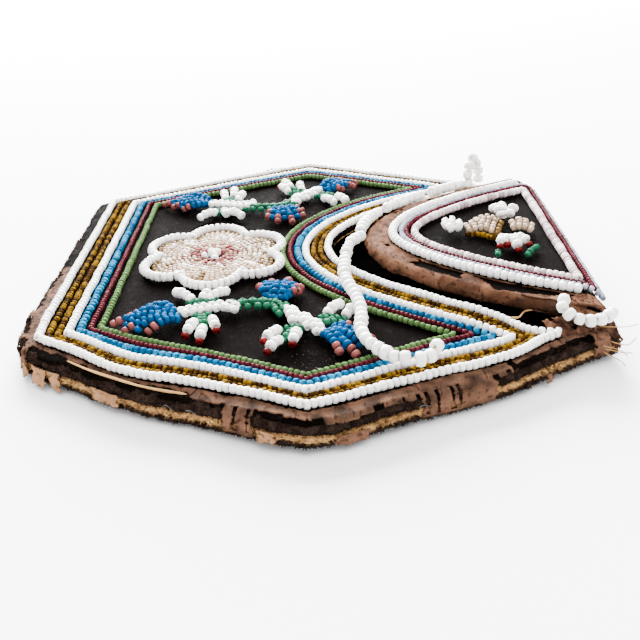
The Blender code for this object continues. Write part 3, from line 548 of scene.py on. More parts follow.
def make_finish(name):
    if name in GLASS:
        return bead_glass(name, *GLASS[name])
    makers = {
        "velvet": lambda: velvet(name, shade("velvet"), shade("velvet_worn")),
        # Rim velvet: the same velvet painted 4.5 times lighter, its worn spots 8.6 times, as painted light on
        # the rim's upright sides that get little light; it also has more threadbare spots
        "rim_velvet": lambda: velvet(name, scaled(shade("velvet"), 4.5), scaled(shade("velvet_worn"), 8.6),
                                     0.52, 3.0),
        "interlining": lambda: raw_cloth(name, shade("interlining"), shade("interlining_dark")),
        "lining": lambda: plain_cloth(name, (0.0011, 0.0009, 0.0009)),
        "ribbon": lambda: silk(name, shade("ribbon"), shade("ribbon_dark"), shade("ribbon_light")),
        "scrap_silk": lambda: silk(name, (0.250, 0.125, 0.058), (0.060, 0.029, 0.014), (0.38, 0.20, 0.098)),
        "flap_ribbon": lambda: silk(name, shade("flap_ribbon"), shade("ribbon_dark"), shade("ribbon_light"),
                                    6.0),
        "white": lambda: bead_glass(name, scaled(shade("white"), 0.84), shade("white"), 0.3, 0.2, gloss=0.1),
        # Blue border glass; its last colour is a painted highlight (glint)
        "blue": lambda: bead_glass(name, scaled(shade("blue"), 0.5), shade("blue"), 0.25, 0.05, 0.35,
                                   (0.006, 0.130, 0.24)),
        "green": lambda: bead_glass(name, scaled(shade("green"), 0.62), shade("green"), 0.3, 0.05),
        "tan_thread": lambda: tufted(name, (0.030, 0.015, 0.0055), (0.44, 0.25, 0.098)),
        "pile": lambda: tufted(name, (0.0012, 0.0008, 0.0006), (0.032, 0.0200, 0.0140)),
        "lint": lambda: plain_cloth(name, (0.14, 0.13, 0.125), 0.3),
    }
    return makers[name]()


# Making pieces

def placed(name, mesh, nodes, finishes):
    """Puts a mesh into the scene as a piece that rides on the purse and stands for the named solids."""
    for finish in finishes:
        mesh.materials.append(finish_of(finish))
    item = bpy.data.objects.new(name, mesh)
    bpy.context.scene.collection.objects.link(item)
    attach(item, BODY)
    if nodes:
        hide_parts(*nodes)
    return item


def piece(name, verts, faces, nodes, finish, tones=None, smooth=True, on_body=True):
    """A piece made of points in millimetres and faces; one on the body shares the pull of its cloth."""
    mesh = bpy.data.meshes.new(name)
    if on_body:
        verts = [(*pulled(x, y), z) for x, y, z in verts]
    mesh.from_pydata([tuple(value * MM for value in vert) for vert in verts], [], faces)
    if tones is not None:
        mesh.attributes.new("tone", "FLOAT", "POINT").data.foreach_set("value", tones)
    mesh.update()
    if smooth:
        mesh.shade_smooth()
    return placed(name, mesh, nodes, (finish,))


def ring_faces(rings, sides, closed=False):
    """Faces between rings of points; a closed form also joins the last ring to the first."""
    faces = []
    for ring in range(rings if closed else rings - 1):
        after = (ring + 1) % rings
        for side in range(sides):
            beside = (side + 1) % sides
            faces.append((ring * sides + side, ring * sides + beside,
                          after * sides + beside, after * sides + side))
    return faces


class Beads:
    """Collects the beads of one piece and makes them one mesh."""

    SIDES = 8
    PROFILE = ((-0.30, 0.30), (-0.47, 0.56), (-0.36, 0.89), (0.0, 1.01),
               (0.36, 0.89), (0.47, 0.56), (0.30, 0.30))

    def __init__(self, name, slot, finishes, seed, on_body=True, uneven=1.0):
        self.name = name
        self.slot = slot
        self.finishes = list(finishes)
        self.random = random.Random(seed)
        self.on_body = on_body
        self.uneven = uneven
        self.count = 0
        self.points = []
        self.kinds = []
        self.tones = []
        turns = np.arange(self.SIDES) * math.tau / self.SIDES
        self.shape = np.array([(along, radius * math.cos(turn), radius * math.sin(turn))
                               for along, radius in self.PROFILE for turn in turns])

    def bead(self, centre, axis, width, length, finish=None):
        """One bead with its hole along the axis, a little uneven in size, tilt and shade."""
        draw = self.random
        wild = self.uneven
        if self.on_body:
            centre = (*pulled(centre[0], centre[1]), centre[2])
        axis = Vector(axis).normalized()
        axis = (axis + Vector((draw.gauss(0, 0.1), draw.gauss(0, 0.1),
                               draw.gauss(0, 0.1))) * wild).normalized()
        across = axis.orthogonal().normalized()
        over = axis.cross(across)
        turn = Matrix((axis, across, over)).transposed()
        grow = 1.0 + draw.gauss(0, 0.045) * wild
        scale = np.array((length * (1.0 + draw.gauss(0, 0.06) * wild), width / 2.0 * grow,
                          width / 2.0 * grow))
        self.points.append(self.shape * scale @ np.array(turn).T + np.array(centre))
        self.kinds.append(self.finishes.index(finish) if finish else 0)
        self.tones.append(draw.random())
        self.count += 1

    def make(self, nodes, thread=None, thread_kind=0):
        """The mesh of all beads, with the thread that they hang on where one is given."""
        unit = np.array(ring_faces(len(self.PROFILE), self.SIDES, True))
        per = len(self.PROFILE) * self.SIDES
        faces = (unit[None, :, :] + (np.arange(self.count) * per)[:, None, None]).reshape(-1, 4)
        points = np.concatenate(self.points)
        kinds = np.repeat(self.kinds, len(unit))
        tones = np.repeat(self.tones, per)
        if thread:
            quads = [face for face in thread[1] if len(face) == 4]
            faces = np.concatenate([faces, np.array(quads) + len(points)])
            points = np.concatenate([points, np.array([tuple(vert) for vert in thread[0]])])
            kinds = np.concatenate([kinds, np.full(len(quads), thread_kind)])
            tones = np.concatenate([tones, np.full(len(thread[0]), 0.7)])
        mesh = bpy.data.meshes.new(self.name)
        mesh.vertices.add(len(points))
        mesh.vertices.foreach_set("co", (points * MM).ravel())
        mesh.loops.add(len(faces) * 4)
        mesh.loops.foreach_set("vertex_index", faces.ravel())
        mesh.polygons.add(len(faces))
        mesh.polygons.foreach_set("loop_start", np.arange(len(faces)) * 4)
        mesh.polygons.foreach_set("material_index", kinds)
        mesh.attributes.new("tone", "FLOAT", "POINT").data.foreach_set("value", tones)
        mesh.update(calc_edges=True)
        mesh.shade_smooth()
        return placed(self.name, mesh, nodes, self.finishes)


def lengths_along(points):
    run = [0.0]
    for start, end in zip(points, points[1:]):
        run.append(run[-1] + math.dist(start, end))
    return run


def spaced(points, pitch, closed=False):
    """Evenly spaced places along a path, each with the path's direction there."""
    whole = points + points[:1] if closed else points
    run = lengths_along(whole)
    count = max(1, round(run[-1] / pitch))
    result = []
    k = 0
    for number in range(count):
        goal = (number + 0.5) / count * run[-1]
        while run[k + 1] < goal:
            k += 1
        share = (goal - run[k]) / max(run[k + 1] - run[k], 1e-9)
        start = Vector(whole[k])
        end = Vector(whole[k + 1])
        result.append((start.lerp(end, share), (end - start).normalized()))
    return result


def sew_row(work, path, surface, width, pitch, closed=True, wander=0.14, lift=0.0):
    """A row of beads sewn down along a flat path, wandering a little between stitches."""
    for spot, run in spaced([Vector((x, y, 0.0)) for x, y in path], pitch, closed):
        side = Vector((-run.y, run.x, 0.0))
        drift = wander * (rough(spot.x, spot.y, 5.0, width) + 0.6 * rough(spot.x, spot.y, 2.0, width + 5.0))
        x = spot.x + side.x * drift
        y = spot.y + side.y * drift
        up = normal_of(surface, x, y)
        along = (run - up * run.dot(up)).normalized()
        centre = Vector((x, y, surface(x, y))) + up * (GAP * 0.3 + width / 2.0 + lift)
        work.bead(centre, along, width, pitch * BEAD_FILL)


def tipped(body, tip=None, tips=1):
    """Gives each bead of a string its finish: a body, with other beads at its far end."""
    def kind(k, count):
        return tip if tip and k >= count - tips else body
    return kind


RED_TIP = 0.74


def string_over(work, points, surface, width, pitch, rise, kinds):
    """A string of beads over the cloth through the given points, bowed up in its middle."""
    route = [Vector((x, y, 0.0)) for x, y in points]
    if len(points) > 2:
        route = smooth_route(route, 6)
    run = lengths_along(route)[-1]
    count = max(2, round(run / pitch))
    for k, (spot, way) in enumerate(spaced(route, run / count)):
        share = (k + 0.5) / count
        level = surface(spot.x, spot.y) + GAP * 0.5 + width / 2.0 + rise * 4.0 * share * (1.0 - share)
        way = way + Vector((0.0, 0.0, rise * 4.0 * (1.0 - 2.0 * share) / run))
        kind = kinds(k, count)
        size = RED_TIP if kind == "red" else 1.0
        work.bead((spot.x, spot.y, level), way, width * size, run / count * BEAD_FILL * size, kind)


def flower_part(node, slot, groups, seed, surface, where=tuple, on_body=True):
    """One flower part: groups of strings, each with its bead width, pitch, rise and finishes."""
    kinds = []
    for *_, finishes in groups:
        kinds += [kind for kind in finishes if isinstance(kind, str) and kind not in kinds]
    work = Beads(node + "_beads", slot, kinds, seed, on_body)
    for strings, width, pitch, rise, finishes in groups:
        for points in strings:
            string_over(work, [where(point) for point in points], surface, width, pitch, rise,
                        tipped(*finishes))
    work.make((node,))


# Cloth panels

def heights(keys, counts):
    """The y of each row: a given number of steps up to each key height, and the same downwards."""
    half = [0.0]
    for low, high, count in zip([0.0] + keys[:-1], keys, counts):
        half += [low + (high - low) * k / count for k in range(1, count + 1)]
    return [-y for y in reversed(half[1:])] + half


PANEL_COLUMNS = 56
PANEL_ROWS = (26, 3, 18)


def outline_rows(inset, open_mouth, hinge_inset=0.0, mouth_inset=0.0):
    """Rows of points over a whole panel, one for each y, ending in a point at both peaks."""
    peak_x, peak_y = crossing(SLANT_LEFT, inset, SLANT_RIGHT, inset)
    left_corner = crossing(LEFT_SIDE, inset, SLANT_LEFT, inset)[1]
    if open_mouth:
        right_corner = mouth_point(mouth_end(mouth_inset, inset), mouth_inset)[1]
    else:
        right_corner = crossing(HINGE_SIDE, hinge_inset, SLANT_RIGHT, inset)[1]
    a, b, c = SLANT_LEFT
    d, e, f = SLANT_RIGHT
    rows = []
    for y in heights(sorted([left_corner, right_corner]) + [peak_y], PANEL_ROWS):
        if abs(y) > peak_y - 1e-6:
            rows.append([(peak_x, y)])
            continue
        left = max(inset - LEFT_REACH, (b * abs(y) - c + inset) / -a)
        right = (f - inset - e * abs(y)) / d
        if open_mouth and abs(y) < right_corner:
            right = mouth_limit(y, mouth_inset)
        if not open_mouth:
            right = min(right, HINGE_REACH - hinge_inset)
        shares = [(1.0 - math.cos(math.pi * k / PANEL_COLUMNS)) / 2.0 for k in range(PANEL_COLUMNS + 1)]
        rows.append([(left + (right - left) * share, y) for share in shares])
    return rows


def sheet_mesh(rows):
    """The faces of a sheet made of rows of points, the loop round its edge and its number of points."""
    numbers = []
    count = 0
    for row in rows:
        numbers.append(list(range(count, count + len(row))))
        count += len(row)
    faces = []
    for low, high in zip(numbers, numbers[1:]):
        low = low * len(high) if len(low) == 1 else low
        high = high * len(low) if len(high) == 1 else high
        for k in range(len(low) - 1):
            corners = [low[k], low[k + 1], high[k + 1], high[k]]
            faces.append(tuple(dict.fromkeys(corners)))
    loop = list(numbers[0]) + [row[-1] for row in numbers[1:-1]]
    loop += list(reversed(numbers[-1])) + [row[0] for row in reversed(numbers[1:-1])]
    return faces, loop, count


def cloth_panel(name, rows, top, thickness, nodes, finish, ragged=0.0, grain=3.0, droop=0.0, seed=1.0,
                distance=rim_distance, edge_lift=None):
    """A cloth layer of real thickness whose edge is uneven, torn and may droop or curl."""
    faces, loop, count = sheet_mesh(rows)
    upper = []
    lower = []
    for row in rows:
        for x, y in row:
            d = distance(x, y)
            near = max(0.0, 1.0 - d / 4.0)
            if ragged and near > 0.0:
                gx, gy = slope_of(distance, x, y, 0.2)
                torn = rough(x, y, grain, seed) + 0.5 * rough(x, y, grain / 2.7, seed + 3.0)
                shift = ragged * near * torn
                x2 = x - gx * shift
                y2 = y - gy * shift
            else:
                x2 = x
                y2 = y
            z = top(x, y) - droop * max(0.0, 1.0 - d / 1.8) ** 2
            if edge_lift:
                z += edge_lift(x, y, d)
            upper.append((x2, y2, z))
            lower.append((x2, y2, z - thickness))
    flipped = [tuple(count + k for k in reversed(face)) for face in faces]
    rim = []
    middle = 2 * count
    verts = upper + lower
    for k, number in enumerate(loop):
        x, y, z = upper[number]
        away = Vector((x, y, 0.0)).normalized() * min(thickness * 0.45, 0.6)
        verts.append((x + away.x, y + away.y, z - thickness * 0.5))
        after = (k + 1) % len(loop)
        rim.append((number, middle + k, middle + after, loop[after]))
        rim.append((middle + k, count + number, count + loop[after], middle + after))
    item = piece(name, verts, faces + flipped + rim, nodes, finish)
    fix_normals(item)
    width = max(x for x, y, z in upper) - min(x for x, y, z in upper)
    length = max(y for x, y, z in upper) - min(y for x, y, z in upper)
    declare(width, length)
    return item


def fix_normals(item):
    bm = bmesh.new()
    bm.from_mesh(item.data)
    bmesh.ops.recalc_face_normals(bm, faces=bm.faces)
    bm.to_mesh(item.data)
    bm.free()


def skin_area(item, count=None):
    """Area of a sheet's first faces in square millimetres: one side of it."""
    return sum(face.area for face in list(item.data.polygons)[:count]) / MM ** 2


def declare(width, length, with_pieces=()):
    """Takes the size in millimetres that a cloth piece was cut to and does nothing with it; with_pieces is not
    used.
    """
    width * MM
    length * MM


TUBE_SIDES = 5


def tube(points, radius, taper=0.6):
    """Vertices and faces of a thin closed tube along points, thinner at its ends."""
    verts = []
    last = len(points) - 1
    for k, point in enumerate(points):
        here = Vector(point)
        run = (Vector(points[min(k + 1, last)]) - Vector(points[max(k - 1, 0)])).normalized()
        across = run.orthogonal().normalized()
        over = run.cross(across)
        size = radius * (taper if k in (0, last) else 1.0)
        for side in range(TUBE_SIDES):
            turn = math.tau * side / TUBE_SIDES
            verts.append(tuple(here + (across * math.cos(turn) + over * math.sin(turn)) * size))
    ends = [tuple(reversed(range(TUBE_SIDES))), tuple(last * TUBE_SIDES + side for side in range(TUBE_SIDES))]
    return verts, ring_faces(len(points), TUBE_SIDES) + ends


def joined(parts):
    """Several sets of vertices and faces as one."""
    verts = []
    faces = []
    for more, polygons in parts:
        base = len(verts)
        verts += more
        faces += [tuple(base + k for k in polygon) for polygon in polygons]
    return verts, faces


# The rim, walked round its sewn sides from hinge end to hinge end

def walked(points, step, whole=math.ceil):
    """Points about one step apart along straight stretches between the given ones."""
    path = []
    for start, end in zip(points, points[1:]):
        count = max(1, whole(math.dist(start, end) / step))
        path += [(start[0] + (end[0] - start[0]) * k / count, start[1] + (end[1] - start[1]) * k / count)
                 for k in range(count)]
    path.append(points[-1])
    return path


def rim_walk(inset, step):
    """Points along the sewn rim, from the near hinge end to the far one."""
    peak = crossing(SLANT_LEFT, inset, SLANT_RIGHT, inset)
    left = crossing(LEFT_SIDE, inset, SLANT_LEFT, inset)
    hinge = crossing(HINGE_SIDE, inset, SLANT_RIGHT, inset)
    far = [left, peak, hinge]
    corners = [(x, -y) for x, y in reversed(far)] + far
    return walked(corners, step, round)


def inward_at(x, y):
    """The direction in the plane that leads away from the rim."""
    return Vector((*slope_of(rim_distance, x, y, 0.3), 0.0)).normalized()


class RimBand:
    """A lumpy roll of cloth along the sewn rim, with knobs of a size and height, swayed by slow waves."""

    def __init__(self, inset, middle, half, depth, knob, height, wave, sway):
        self.inset = inset
        self.middle = middle
        self.half = half
        self.depth = depth
        self.knob = knob
        self.height = height
        self.wave = wave
        self.sway = sway

    def at(self, x, y, turn, inward):
        """The surface point in a direction round the roll, from outwards through up."""
        out = math.cos(turn)
        up = math.sin(turn)
        seed = self.middle * 3.0
        grow = (1.0 + self.height * rough(x + out, y + up, self.knob, seed) + 0.5 * self.height
                * rough(x + 2.0 * up, y + out, self.knob / 2.6, seed + 1.0)
                + 0.12 * rough(x, y, 6.0, seed + 2.0))
        level = self.middle + rim_wave(x, y) * 0.9 + self.sway * rough(x, y, self.wave, self.middle)
        return Vector((x - inward.x * out * self.depth * grow, y - inward.y * out * self.depth * grow,
                       max(level + up * self.half * grow, 0.25)))


SEAM_BAND = RimBand(1.5, 5.55, 1.8, 2.1, 2.0, 0.2, 12.0, 0.3)
FRAYED_BAND = RimBand(1.3, 3.3, 0.98, 1.9, 1.5, 0.36, 9.0, 0.9)
FOOT_BAND = RimBand(1.1, 1.95, 0.85, 1.7, 2.2, 0.3, 11.0, 0.3)


class PURSE_OT_cloth(bpy.types.Operator):
    """Velvet, interlining and lining of the back and the front"""
    bl_idname = "purse.cloth"
    bl_label = "Cloth panels"

    def execute(self, context):
        rows = outline_rows(0.4, False, 0.4)
        cloth_panel("back_velvet", rows, lambda x, y: back_level(x, y, CLOTH), CLOTH,
                    ("back_panel",), "velvet", 0.9, 3.2, 0.1, 2.0)
        rows = outline_rows(0.2, False, 4.5)
        cloth_panel("back_raw_edge", rows, lambda x, y: back_level(x, y, CLOTH + GAP + STIFFENER), STIFFENER,
                    ("back_interlining",), "interlining", 0.9, 2.4, 0.0, 5.0,
                    edge_lift=lambda x, y, d: 0.9 * max(0.0, 1.0 - d / 2.2) * (0.6 + rough(x, y, 6.0, 8.0)))
        rows = outline_rows(5.0, False, 4.8)
        cloth_panel("back_black_lining", rows, lambda x, y: back_level(x, y, 2.35), LINING,
                    ("back_lining",), "lining")
        rows = outline_rows(0.3, True, mouth_inset=0.25)
        cloth_panel("front_velvet", rows, front_top, CLOTH, ("front_panel",), "velvet", 0.8, 4.0,
                    0.7, 3.0, seam_distance)
        rows = outline_rows(0.9, True, mouth_inset=0.6)
        cloth_panel("front_raw_edge", rows, lambda x, y: front_top(x, y) - CLOTH - GAP, STIFFENER,
                    ("front_interlining",), "interlining", 0.8, 2.2, 0.3, 6.0, seam_distance)
        rows = outline_rows(5.0, True, mouth_inset=1.0)
        cloth_panel("front_black_lining", rows, lambda x, y: front_top(x, y) - 2.1, LINING,
                    ("front_lining",), "lining", distance=seam_distance)
        self.roll()
        self.flap()
        return {"FINISHED"}

    def roll(self):
        """The velvet's raw edges rolled into the seam, the frayed interlining, and the ragged foot."""
        self.band("seam_velvet", SEAM_BAND, ("seam_roll",), "velvet", "rim_velvet")
        self.band("frayed_edge", FRAYED_BAND, (), "interlining", "interlining")
        self.band("ragged_foot", FOOT_BAND, (), "velvet", "rim_velvet")

    def band(self, name, band, nodes, slot, finish):
        path = rim_walk(band.inset, 0.4)
        sides = 18
        verts = []
        for x, y in path:
            inward = inward_at(x, y)
            verts += [tuple(band.at(x, y, math.tau * side / sides, inward)) for side in range(sides)]
        faces = []
        for k in range(len(path) - 1):
            for side in range(sides):
                beside = (side + 1) % sides
                faces.append((k * sides + side, k * sides + beside, (k + 1) * sides + beside,
                              (k + 1) * sides + side))
        faces.append(tuple(range(sides)))
        faces.append(tuple((len(path) - 1) * sides + side for side in range(sides)))
        fix_normals(piece(name, verts, faces, nodes, finish))

    def flap(self):
        """The three layers of the flap, folded down at the hinge edge."""
        self.flap_layer("flap_velvet", 0.0, CLOTH, 0.0, "velvet", "flap_panel", "velvet")
        self.flap_layer("flap_raw_edge", CLOTH + GAP, STIFFENER, 0.6, "interlining", "flap_interlining",
                        "interlining")
        self.flap_layer("flap_black_lining", CLOTH + 2 * GAP + STIFFENER, LINING, 1.0, "lining",
                        "flap_lining", "lining")

    def flap_layer(self, name, depth, thickness, inset, slot, node, finish):
        columns = 40
        tip = FLAP_TIP + inset
        stations = []
        for k in range(36):
            x = tip + (FOLD_START - tip) * (k / 35) ** 1.6
            stations.append((x, None, flap_half(x, inset)))
        wide = flap_half(FOLD_START, inset)
        for k in range(1, 13):
            stations.append((FOLD_START, math.pi / 2.0 * k / 12,
                             wide + (FLAP_FOOT_HALF - inset - wide) * k / 12))
        tops = []
        lows = []
        for x, turn, half in stations:
            ys = [0.0] if half < 1e-3 else [-half + 2.0 * half * k / columns for k in range(columns + 1)]
            for rows, down in ((tops, depth), (lows, depth + thickness)):
                row = []
                for y in ys:
                    lift = flap_lift(x, y)
                    if turn is None:
                        row.append((x, y, FLAP_TOP + lift - down))
                    else:
                        row.append((FOLD_START + (FOLD_RUN - down) * math.sin(turn), y,
                                    FOLD_FOOT + (FLAP_TOP + lift - FOLD_FOOT - down) * math.cos(turn)))
                rows.append(row)
        faces, loop, count = sheet_mesh(tops)
        verts = [vert for row in tops for vert in row] + [vert for row in lows for vert in row]
        flipped = [tuple(count + k for k in reversed(face)) for face in faces]
        rim = [(loop[k], count + loop[k], count + loop[(k + 1) % len(loop)], loop[(k + 1) % len(loop)])
               for k in range(len(loop))]
        item = piece(name, verts, faces + flipped + rim, (node,), finish, on_body=False)
        fix_normals(item)
        run = FOLD_START - tip + math.pi / 2.0 * (FOLD_RUN + FLAP_TOP - FOLD_FOOT) / 2.0 * 1.02
        declare(2.0 * (FLAP_FOOT_HALF - inset), run)


# Border rows

def front_row_path(slant_inset, left_inset, mouth_inset):
    """Closed path parallel to the outline of the front panel, with slightly rounded corners."""
    end = mouth_end(mouth_inset, slant_inset)
    mouth = [mouth_point(end * k / 40, mouth_inset) for k in range(41)]
    peak = crossing(SLANT_LEFT, slant_inset, SLANT_RIGHT, slant_inset)
    corner = crossing(LEFT_SIDE, left_inset, SLANT_LEFT, slant_inset)
    far = mouth + walked([mouth[-1], peak, corner], 1.5)[1:]
    near = [(x, -y) for x, y in reversed(far)]
    left = walked([corner, (corner[0], -corner[1])], 1.5)[1:-1]
    return far + left + near[:-1]


class PURSE_OT_border(bpy.types.Operator):
    """The seven bead rows round the front, and the four round the flap"""
    bl_idname = "purse.border"
    bl_label = "Border rows"

    ROWS = (("row_white_outer", "white", "white_beads", 2.0, "white_bead", 1.52),
            ("row_amber_outer", "amber", "amber_beads", 1.5, "amber_bead", 1.16),
            ("row_amber_inner", "amber", "amber_beads", 1.5, "amber_bead", 1.16),
            ("row_white_inner", "white", "white_beads", 2.0, "white_bead", 1.5),
            ("row_blue", "blue", "border_blue_beads", 1.9, "blue_bead", 1.6),
            ("row_burgundy", "burgundy", "burgundy_beads", 1.5, "burgundy_bead", 1.15),
            ("row_green", "green", "border_green_beads", 1.6, "green_bead", 1.4))
    FLAP_ROWS = (("flap_row_pale", "pale", "pale_beads", 1.1, 1.5, 1.25, 0.4),
                 ("flap_row_burgundy", "burgundy", "burgundy_beads", 1.1, 1.4, 1.15, 0.5),
                 ("flap_row_white_inner", "rosy_white", "white_beads", 2.8, 2.2, 1.55, 0.0))

    def execute(self, context):
        slant = 4.9
        left = 5.0
        mouth = 1.2
        before = None
        for number, (name, finish, slot, room, setting, pitch) in enumerate(self.ROWS):
            if before is not None:
                reach = (before + room) / 2.0
                slant += reach + 0.03
                left += reach + 0.7
                mouth += reach + 0.36
            before = room
            work = Beads(name + "_beads", slot, (finish,), 20 + number)
            width = getattr(sizes(), setting) / MM
            lift = 0.35 if finish == "burgundy" else 0.0
            sew_row(work, front_row_path(slant, left, mouth), front_top, width, pitch, wander=0.2, lift=lift)
            work.make((name,))
        self.flap_rows()
        return {"FINISHED"}

    def flap_rows(self):
        width = sizes().flap_bead / MM
        end = flap_side_end(FOLD_START, FLAP_WHITE_INSET)
        side = [flap_side_point(end * k / 50, FLAP_WHITE_INSET) for k in range(51)]
        path = [(x, -y) for x, y in reversed(side)] + side[1:]
        work = Beads("flap_row_white_outer_beads", "white_beads", ("white",), 40, False)
        sew_row(work, path, flap_height, width, 1.75, False, 0.2)
        work.make(("flap_row_white_outer",))
        side_edge = FLAP_WHITE_INSET + 2.8 / 2.0
        hinge_edge = 2.0 - 0.3
        for number, (name, finish, slot, room, width, pitch, lift) in enumerate(self.FLAP_ROWS):
            inset = side_edge + 0.3 + room / 2.0
            last = HINGE_REACH - (hinge_edge + 0.3 + room / 2.0)
            end = flap_side_end(last, inset)
            side = [flap_side_point(end * k / 50, inset) for k in range(51)]
            side = [(side[0][0], 0.0)] + [point for point in side if point[1] > 0.4]
            across = walked([side[-1], (side[-1][0], -side[-1][1])], 1.5)[1:-1]
            path = side + across + [(x, -y) for x, y in reversed(side[1:])]
            work = Beads(name + "_beads", slot, (finish,), 50 + number, False)
            sew_row(work, path, flap_height, width, pitch, True, 0.15, lift)
            work.make((name,))
            side_edge = inset + room / 2.0
            hinge_edge += 0.3 + room


# Flowers

def polar(centre, angle, reach):
    return centre[0] + math.cos(angle) * reach, centre[1] + math.sin(angle) * reach


class PURSE_OT_rosette(bpy.types.Operator):
    """The six-lobed rosette: white rim, gold line, crystal fill and pink centre"""
    bl_idname = "purse.rosette"
    bl_label = "Rosette"

    LOBES = 6
    OUT = 19.5
    IN = 14.6
    STRINGS = 66

    def reach(self, angle, less):
        wave = abs(math.cos((angle - math.pi / self.LOBES) * self.LOBES / 2.0))
        return self.IN + (self.OUT - self.IN) * wave ** 0.8 - less

    def ring(self, less):
        angles = [math.tau * k / 240 for k in range(240)]
        return [polar(ROSETTE, angle, self.reach(angle, less)) for angle in angles]

    def execute(self, context):
        rim = Beads("rosette_rim_beads", "white_beads", ("white",), 60)
        sew_row(rim, self.ring(0.0), front_top, 2.6, 1.6, wander=0.1, lift=0.25)
        rim.make(("rosette_rim",))
        fill = Beads("rosette_fill_beads", "crystal_beads", ("crystal", "gold", "pink", "white"), 61)
        for number in range(self.STRINGS):
            self.fill_string(fill, number)
        fill.make(("rosette_petals",))
        self.middle()
        return {"FINISHED"}

    def fill_string(self, work, number):
        """One string of fine beads from near the middle to the rim; every other one starts further out."""
        angle = math.tau * number / self.STRINGS
        start = (2.4, 7.4, 4.8, 7.4)[number % 4]
        end = self.reach(angle, 1.9)
        draw = work.random
        tinted = draw.random() < 0.3

        def kind(k, count):
            if k == count - 1 and self.reach(angle, 0.0) > 16.4:
                return "gold"
            if start < 6.0 and k < 3:
                return "pink" if draw.random() < 0.55 else "crystal"
            if tinted and draw.random() < 0.4:
                return "gold"
            return "white" if draw.random() < 0.12 else "crystal"

        string_over(work, [polar(ROSETTE, angle, start), polar(ROSETTE, angle, end)], front_top, 1.65,
                    1.3, 0.35, kind)

    def middle(self):
        """The white and red beads at the middle."""
        work = Beads("rosette_middle_beads", "pink_beads", ("pink", "white", "red"), 62)
        centre = ROSETTE
        string_over(work, [polar(centre, 3.4, 3.6), polar(centre, 0.3, 3.4)], front_top, 2.3, 1.6, 0.9,
                    tipped("white", "pink"))
        string_over(work, [polar(centre, 4.8, 3.4), polar(centre, 1.7, 3.0)], front_top, 2.2, 1.6, 0.7,
                    tipped("white", "pink"))
        spokes = ((0.55, "red"), (0.95, "red"), (2.5, "pink"), (3.9, "pink"), (5.5, "pink"), (4.4, "red"))
        for angle, kind in spokes:
            string_over(work, [polar(centre, angle, 3.2), polar(centre, angle, 6.2)], front_top, 1.9, 1.4,
                        0.4, tipped(kind))
        work.make(("rosette_centre",))


def laid_stem(work, points, surface, width, bead, pitch, lean, turned=False):
    """A raised stem of short strings laid side by side, all one way or each other one turned."""
    for number, (spot, run) in enumerate(spaced([Vector((*point, 0.0)) for point in points], pitch)):
        side = Vector((-run.y, run.x, 0.0))
        way = -lean if turned and number % 2 else lean
        start = spot - side * width / 2.0 - run * way * 0.5
        end = spot + side * width / 2.0 + run * way * 0.5
        string_over(work, [start[:2], end[:2]], surface, bead, bead * 0.78, 1.0, tipped(None))


